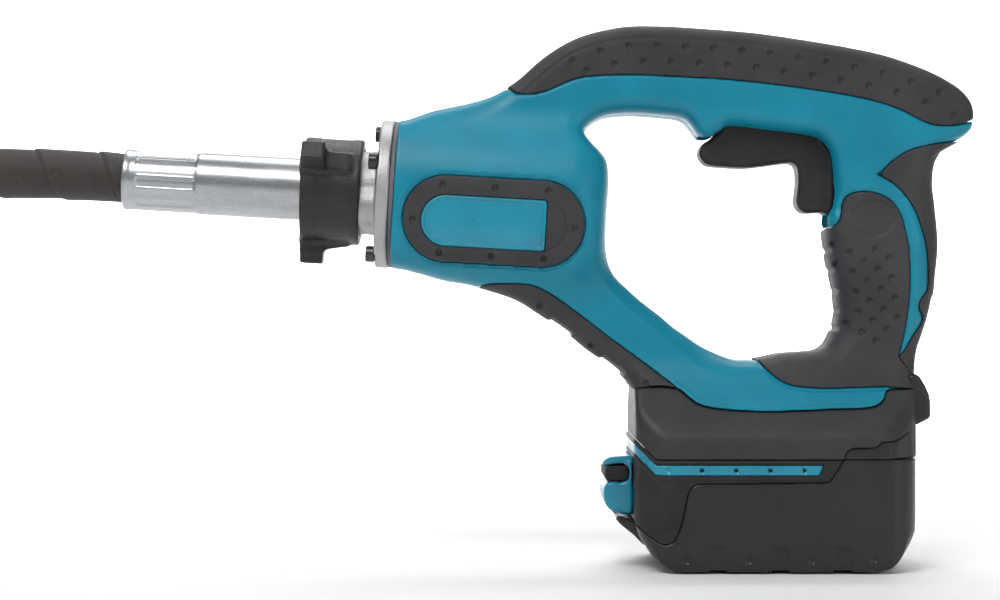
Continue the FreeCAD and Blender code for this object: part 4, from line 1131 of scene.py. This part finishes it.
def base_form(grid):
    """The base's outer faces: upright skirt, sloping shoulders and cut corners."""
    z = grid.z
    side = np.abs(grid.y) - 38.3
    shoulder = (np.abs(grid.y) - 38.3 + 0.74 * (z - 55.0)) / 1.244
    front = 34.5 - grid.x
    rear = grid.x - 150.6
    lean = 0.80
    front_corner = ((34.5 - grid.x) * lean + (np.abs(grid.y) - 30.2)) / 1.28
    rear_corner = ((grid.x - 150.6) + (np.abs(grid.y) - 26.0)) / 1.414
    form = keep(side, shoulder, 2.0)
    form = keep(form, front, 3.0)
    form = keep(form, front_corner, 2.4)
    form = keep(form, rear, 2.0)
    return keep(form, rear_corner, 3.5)


def base_bottom(grid):
    """Height of the line between base and battery, which rises at the front corner."""
    return BASE_SEAM + stripe_height(grid)


SIDE_PANEL_EDGE = [(119, 40), (119.2, 47.8), (120.2, 49.6), (122.4, 50.8), (131.8, 51.0),
                   (133.0, 51.8), (133.9, 53.3), (139.4, 53.6), (143, 55.0), (147.8, 58.0),
                   (153, 61)]


def base():
    """The black housing over the battery, and the glossy panels at its rear corners."""
    step = 0.55
    grid = Grid((33, -39.5, 46), (158, 0.5, 80), step)
    form = base_form(grid)
    top = -outline_field(BASE_REGION, grid)
    field = keep(form, -top, 0.6)
    tongue = block(grid, (48, -8, 60), (68, 8, 74), 1.0)
    field = np.minimum(field, tongue)
    field = np.maximum(field, base_bottom(grid) - grid.z)
    cavity = np.maximum(form + 3.2, np.maximum(grid.z - 62.5, base_bottom(grid) + 3.3 - grid.z))
    field = np.maximum(field, -cavity)
    panel = outline_field(np.array(SIDE_PANEL_EDGE + [(170, 61), (170, 40)]), grid)
    band = np.maximum(panel, 30.0 - np.abs(grid.y))
    rest = np.maximum(field, -(band - 0.14))
    left = piece_from("base_half", rest, grid, BASE_PLASTIC, "drive_unit")
    right = mirrored_piece(left, "base_half_right")
    joined([left, right], "base_housing", "drive_unit", ["base_housing"], "black_plastic")
    inlay = np.maximum(np.maximum(field + 0.08, band), battery_form_field(grid))
    a = piece_from("inlay", inlay, grid, BLACK_GLOSS, "drive_unit")
    b = mirrored_piece(a, "inlay_right")
    joined([a, b], "base_rear_panels", "drive_unit", [], "black_plastic")
    rails()


def rails():
    """The two T-rails under the base that the battery slides on."""
    grid = Grid((53, -25, 39), (148, 25, 51), 0.7)
    both = None
    for side in (-1, 1):
        web = block(grid, (55, min(side * 17.5, side * 20.3), 40.8),
                    (146, max(side * 17.5, side * 20.3), 50), 0.4)
        toe = block(grid, (55, min(side * 17.5, side * 23.4), 40.8),
                    (146, max(side * 17.5, side * 23.4), 42.4), 0.5)
        rail = join(web, toe, 0.6)
        both = rail if both is None else np.minimum(both, rail)
    piece = piece_from("base_rails", both, grid, BLACK_MATTE, "drive_unit")


BUMPER_OUTLINE = [(148, 80.2), (151.3, 80.6), (153, 79.3), (155.1, 75.8), (156.6, 72.4),
                  (157.2, 69.5), (157.3, 63.2), (156.6, 62.0), (151.8, 59.6), (148, 58.8)]


def bumper():
    """The pad that guards the back of the base."""
    step = 0.45
    grid = Grid((144, -25, 45), (160, 25, 84), step)
    outline = outline_field(np.array(BUMPER_OUTLINE), grid)
    pad = round_both(outline, np.abs(grid.y) - 22, 1.8)
    plate = block(grid, (148.6, -26, 46.6), (150.4, 26, 60), 0.7)
    solid = join(pad, plate, 0.8)
    piece = piece_from("rear_bumper", solid, grid, BLACK_GLOSS, "drive_unit")
    stand_for(piece, "black_plastic", "rear_bumper")


# ---------------------------------------------------------------- battery
BATTERY_OUTLINE = [
    (34.2, 70), (34.2, 19.6), (36.4, 13.6), (38.4, 10.6), (40.6, 7.0), (43.6, 3.9),
    (47.6, 1.4), (52.6, 0.25), (133, 0.25), (137.8, 1.3), (141.5, 4.2), (144.2, 7.4),
    (147.6, 12.2),
    (149.6, 16.2), (149.9, 22), (150.1, 70)]
COVER_EDGE = [
    (20, 24.5), (26.5, 23.4), (31.2, 21.5), (35, 19.0), (39, 15.4), (43.1, 12.4), (45.2, 11.5),
    (47.4, 11.6), (49.2, 12.5), (50.6, 14.6), (52.1, 17.9), (53.4, 22.6), (54.5, 27.8),
    (55.2, 31.4), (56.2, 33.9), (57.6, 35.5), (59.8, 36.2), (85, 36.5), (112.6, 36.8)]
STRIPE_SPAN = (39.7, 43.9)
STRIPE_DIMPLES, STRIPE_PITCH = 5, 13.87
BATTERY_SEAM = 46.1
BATTERY_SCREWS = [(x, y) for x in (48, 135) for y in (-28, 28)]
PANELS = ((63.9, 71.2), (89.3, 96.8), (114.7, 122.4))


def battery_form_field(grid):
    """The battery's outer faces, with its four upright corners cut."""
    outline = outline_field(np.array(BATTERY_OUTLINE), grid)
    x, y = grid.x, np.abs(grid.y)
    rear = ((x - 150.0) + (y - 30.0)) / 1.414
    front = ((34.3 - x) * 0.8 + (y - 29.6)) / 1.28
    form = round_both(outline, y - 37.4, 1.4)
    form = keep(form, rear, 3.5)
    return keep(form, front, 3.5)


def stripe_height(grid):
    """How far the stripe has climbed at the front corner."""
    return np.clip(42.4 - grid.x, 0, 8.0) * 1.02


def battery():
    """The slide-on battery: lower case, top cover, stripe and case screws."""
    step = 0.5
    grid = Grid((25, -38.5, -1), (152, 0.5, 56), step)
    form = battery_form_field(grid)
    rise = stripe_height(grid)
    top = grid.z - BATTERY_SEAM - rise
    edge = smooth_loop(COVER_EDGE, closed=False)
    cover_zone = outline_field(np.concatenate([
        edge, [(113.9, 38.2), (118.8, 46.2), (119.2, 70), (20, 70)]]), grid)
    # Lower case: flat glossy walls with shallow foot recesses.
    recess = None
    for low, high in PANELS:
        taper = 0.08 * grid.z
        gap = np.maximum(np.maximum(low + taper - grid.x, grid.x - high + taper),
                         grid.z - 10.2)
        recess = gap if recess is None else np.minimum(recess, gap)
    wall = form + 0.75 * (1 - ramp(recess, -0.35, 0.35)) * ramp(-grid.y, 20, 30)
    wall = wall + dimple(grid, [(54.9, 4.9), (80.3, 5.0), (106, 5.1), (131.4, 5.6)], 1.5, 0.8)
    for x, y in BATTERY_SCREWS[::2]:
        bore = np.sqrt((grid.x - x) ** 2 + (grid.y - y) ** 2)
        boss = np.maximum(bore - 4.2, np.maximum(form, grid.z - 14))
        wall = np.minimum(wall, boss)
    toe = outline_field(np.array([
        (34.6, 31), (34.6, 19.8), (27.6, 21.8), (26.8, 20.6), (28.8, 18.2), (33.8, 14.2),
        (38, 10), (48, 6), (60, 6), (60, 31)]), grid)
    toe = round_both(toe, np.abs(grid.y) - 21, 0.9)
    pocket = block(grid, (20, -17.7, 19.6), (34.4, 30, 40))
    toe = np.maximum(toe, -pocket)
    lower = np.minimum(wall, toe)
    hollow = block(grid, (38.6, -35.2, 2.2), (145, 40, 38.5), 6)
    stem = block(grid, (30, -6.4, 22.2), (40.6, 8, 44.5))
    stem = np.minimum(stem, block(grid, (30, -17.4, 22.2), (36.8, 18, 45.0), 0.6))
    channel = np.minimum(block(grid, (52, -24, 40.2), (160, 24, 42.8)),
                         block(grid, (52, -20.8, 40.2), (160, 20.8, 60)))
    lower_zone = np.maximum(-(cover_zone - 0.16), grid.z - BATTERY_SEAM)
    lower = keep(lower, lower_zone, 0.2)
    lower = np.maximum(lower, -np.maximum(hollow, form + 2.0))
    lower = np.maximum(np.maximum(lower, -stem), -channel)
    for x, y in BATTERY_SCREWS[::2]:
        bore = np.sqrt((grid.x - x) ** 2 + (grid.y - y) ** 2)
        lower = np.maximum(lower, -np.maximum(bore - 2.8, grid.z - 7.9))
    halves("battery_lower_case", lower, grid, BLACK_GLOSS, ["battery_lower_case"],
           "black_plastic")
    # Top cover: matte, with a raised surround along the stripe.
    lifted = grid.z - rise
    along = np.maximum(grid.x + 0.42 * (46 - grid.z) - 116.4, 30 - grid.x)
    around = np.maximum(np.abs(lifted - 41.7) - 4.15, along)
    matte = form - 0.55 * (1 - ramp(around, -0.5, 0.3))
    stripe_zone = np.maximum(np.maximum(STRIPE_SPAN[0] - lifted, lifted - STRIPE_SPAN[1]),
                             grid.x + 0.45 * (43.6 - grid.z) - 110.4)
    cover = keep(matte, np.maximum(cover_zone, top), 0.4)
    cover = np.maximum(cover, -np.maximum(stripe_zone - 0.1, -(form + 1.0)))
    cover = np.maximum(cover, -np.maximum(hollow, form + 2.0))
    cover = np.maximum(np.maximum(cover, -stem), -channel)
    cover = np.maximum(cover, -np.maximum(BATTERY_SEAM - grid.z, form + 3.0))
    halves("battery_top_cover", cover, grid, BLACK_MATTE, ["battery_top_cover"],
           "black_plastic")
    spots = [(47.3 + STRIPE_PITCH * i, 41.75) for i in range(STRIPE_DIMPLES)]
    spots.append((38.4, 46.0))
    band = form - 0.25 + dimple(grid, spots, 1.5, 0.8)
    stripe = keep(np.maximum(band, -(form + 0.9)), stripe_zone, 0.3)
    stripe = np.maximum(stripe, -stem)
    halves("battery_stripe", stripe, grid, TEAL_TRIM, ["battery_stripe"], "teal_trim")
    screws = []
    for x, y in BATTERY_SCREWS:
        screws.append(socket_screw((x, y, 5.0), (x, y, 7.8), 2.5, 1.1, BLACK_STEEL,
                                   "battery", 1.3))
    joined(screws, "battery_screws", "battery", ["battery_screws"], "black_steel")


def halves(name, field, grid, material, nodes, slot):
    """A piece made as one half and its mirror image."""
    field = np.maximum(field, grid.y)
    a = piece_from(name + "_a", field, grid, material, "battery")
    b = mirrored_piece(a, name + "_b")
    return joined([a, b], name, "battery", nodes, slot)


RIB_PITCH = 4.2


def roller_side(grid):
    """Side view of the latch's finger bar."""
    return round_both(np.abs(grid.x - 27.4) - 5.2, np.abs(grid.z - 39.1) - 3.4, 2.6)


def latch():
    """The release button, and the ribbed finger bar across it."""
    step = 0.4
    grid = Grid((20, -19, 20), (38, 19, 48), step)
    y = np.abs(grid.y)
    outline = outline_field(smooth_loop([
        (33.9, 22.6), (28, 22.6), (24.2, 24.4), (22.4, 27.4), (22.0, 31.2), (22.8, 34.4),
        (25.4, 35.6), (29, 35.2), (33.9, 35.9)], 0.8), grid)
    cheeks = round_both(outline, y - 17, 1.6)
    crown = outline_field(smooth_loop([
        (33.9, 46.0), (28, 46.1), (24.2, 45.6), (22.0, 44.0), (21.7, 42.2), (23.2, 42.4),
        (26.2, 43.0), (30, 43.2), (33.9, 42.8)], 0.8), grid)
    bar = round_both(crown, y - 16.4, 0.7)
    back = block(grid, (31.9, -17, 22.6), (33.8, 17, 44), 0.5)
    stem = block(grid, (33.0, -6, 27.2), (37.3, 6, 41.5), 0.5)
    solid = join(np.minimum(cheeks, back), bar, 0.8)
    solid = np.minimum(solid, stem)
    solid = np.maximum(solid, 0.25 - roller_side(grid))
    piece = piece_from("latch_button", solid, grid, TEAL_TRIM, "battery_latch")
    stand_for(piece, "teal_trim", "latch_button")
    grid = Grid((21, -18, 33), (34, 18, 45), step)
    roller = round_both(roller_side(grid), np.abs(grid.y) - 16.6, 0.9)
    ribs = 0.3 * np.maximum(np.cos(grid.y * 2 * math.pi / RIB_PITCH), 0)
    ribs = ribs * ramp(-np.abs(grid.y), -14, -13)
    roller = roller + 0.35 - ribs
    piece = piece_from("latch_grip", roller, grid, BLACK_MATTE, "battery_latch")
    stand_for(piece, "black_plastic", "latch_grip")


# ---------------------------------------------------------------- screws and needle
def housing_screws():
    """The clamshell's screws, deep in their towers."""
    screws = []
    for x, z in SCREW_TOWERS:
        screws.append(socket_screw((x, 14.0, z), (x, 10.6, z), 2.9, 1.5, BLACK_STEEL,
                                   "drive_unit"))
    joined(screws, "housing_screws", "drive_unit", ["housing_screws"], "black_steel")


def needle():
    """The ferrule on the hose's far end. The tube and tip past it are the CAD's own."""
    def wrench_flats(along, degrees, radius):
        """Two spanner flats on the needle's collar."""
        if radius < 12 or not 2 < along < 12:
            return 0
        lean = abs(math.cos(math.radians(degrees)))
        return max(0, radius - 12.2 / max(lean, 0.5)) if lean > 0.93 else 0

    return lathe_piece("head_ferrule", [
        (-28, 10.6), (-28, 12.2), (-27.6, 12.8), (-26.8, 13.0), (-24.5, 13.0), (-24, 12.6),
        (-23.2, 12.6), (-22.7, 13.0), (-19, 13.0), (-18.5, 12.6), (-17.7, 12.6), (-17.2, 13.0),
        (-13.5, 13.0), (-13, 12.6), (-12.2, 12.6), (-11.7, 13.0), (14.8, 13.0), (15.6, 12.8),
        (15.9, 12.2), (15.9, 9.6), (0.2, 9.6), (0.2, 10.6)],
        ZINC, "drive_unit", on_head, ["head_ferrule"], "bright_steel", 120, wrench_flats)


# ---------------------------------------------------------------- finishes of the CAD nodes
def inner_finishes():
    """Better materials for the CAD nodes that show only when the tool is opened."""
    plastic = moulded("inner_plastic", (0.030, 0.030, 0.032), (0.05, 0.05, 0.052),
                      (0.4, 0.6), 2600, 0.00006, (0.12, 0.12, 0.12))
    ferrite = metal("magnet_ferrite", (0.05, 0.05, 0.052), (0.08, 0.08, 0.082), (0.5, 0.7),
                    1500, 0.00008, pits=0.6)
    copper = metal("copper", (0.72, 0.30, 0.16), (0.85, 0.42, 0.25), (0.2, 0.42), 1400,
                   0.00006, stretch=(1, 1, 0.15))
    wrap = moulded("cell_wrap", (0.02, 0.11, 0.20), (0.03, 0.15, 0.26), (0.25, 0.4), 2400,
                   0.00003, (0.2, 0.3, 0.36))
    finishes = {
        plastic: ["switch_body", "switch_plunger", "terminal_block", "motor_end_bell", "fan",
                  "cell_holders"],
        ferrite: ["motor_magnets", "carbon_brushes"],
        copper: ["rotor_windings", "commutator", "battery_terminals"],
        wrap: ["battery_cells"],
        RUBBER: ["seal_ring"],
        BLACK_STEEL: ["trigger_pin"],
        STEEL: ["trigger_spring", "latch_spring", "motor_shaft",
                "drive_coupler", "flex_shaft_end", "front_bearing", "rear_bearing",
                "head_bearings", "motor_can", "eccentric_weight", "rotor_core", "head_tube",
                "head_tip"],
    }
    for material, nodes in finishes.items():
        for node in nodes:
            for slot in frame["nodes"][node].material_slots:
                slot.material = material


GASKET = moulded("gasket", (0.10, 0.10, 0.105), (0.14, 0.14, 0.145), (0.5, 0.7), 2200, 0.00008,
                 (0.2, 0.2, 0.2))

# ---------------------------------------------------------------- making everything
clamshell()
rubber()
badge()
front_end()
collar()
trigger()
base()
bumper()
battery()
latch()
housing_screws()
HEAD_FERRULE = needle()
inner_finishes()
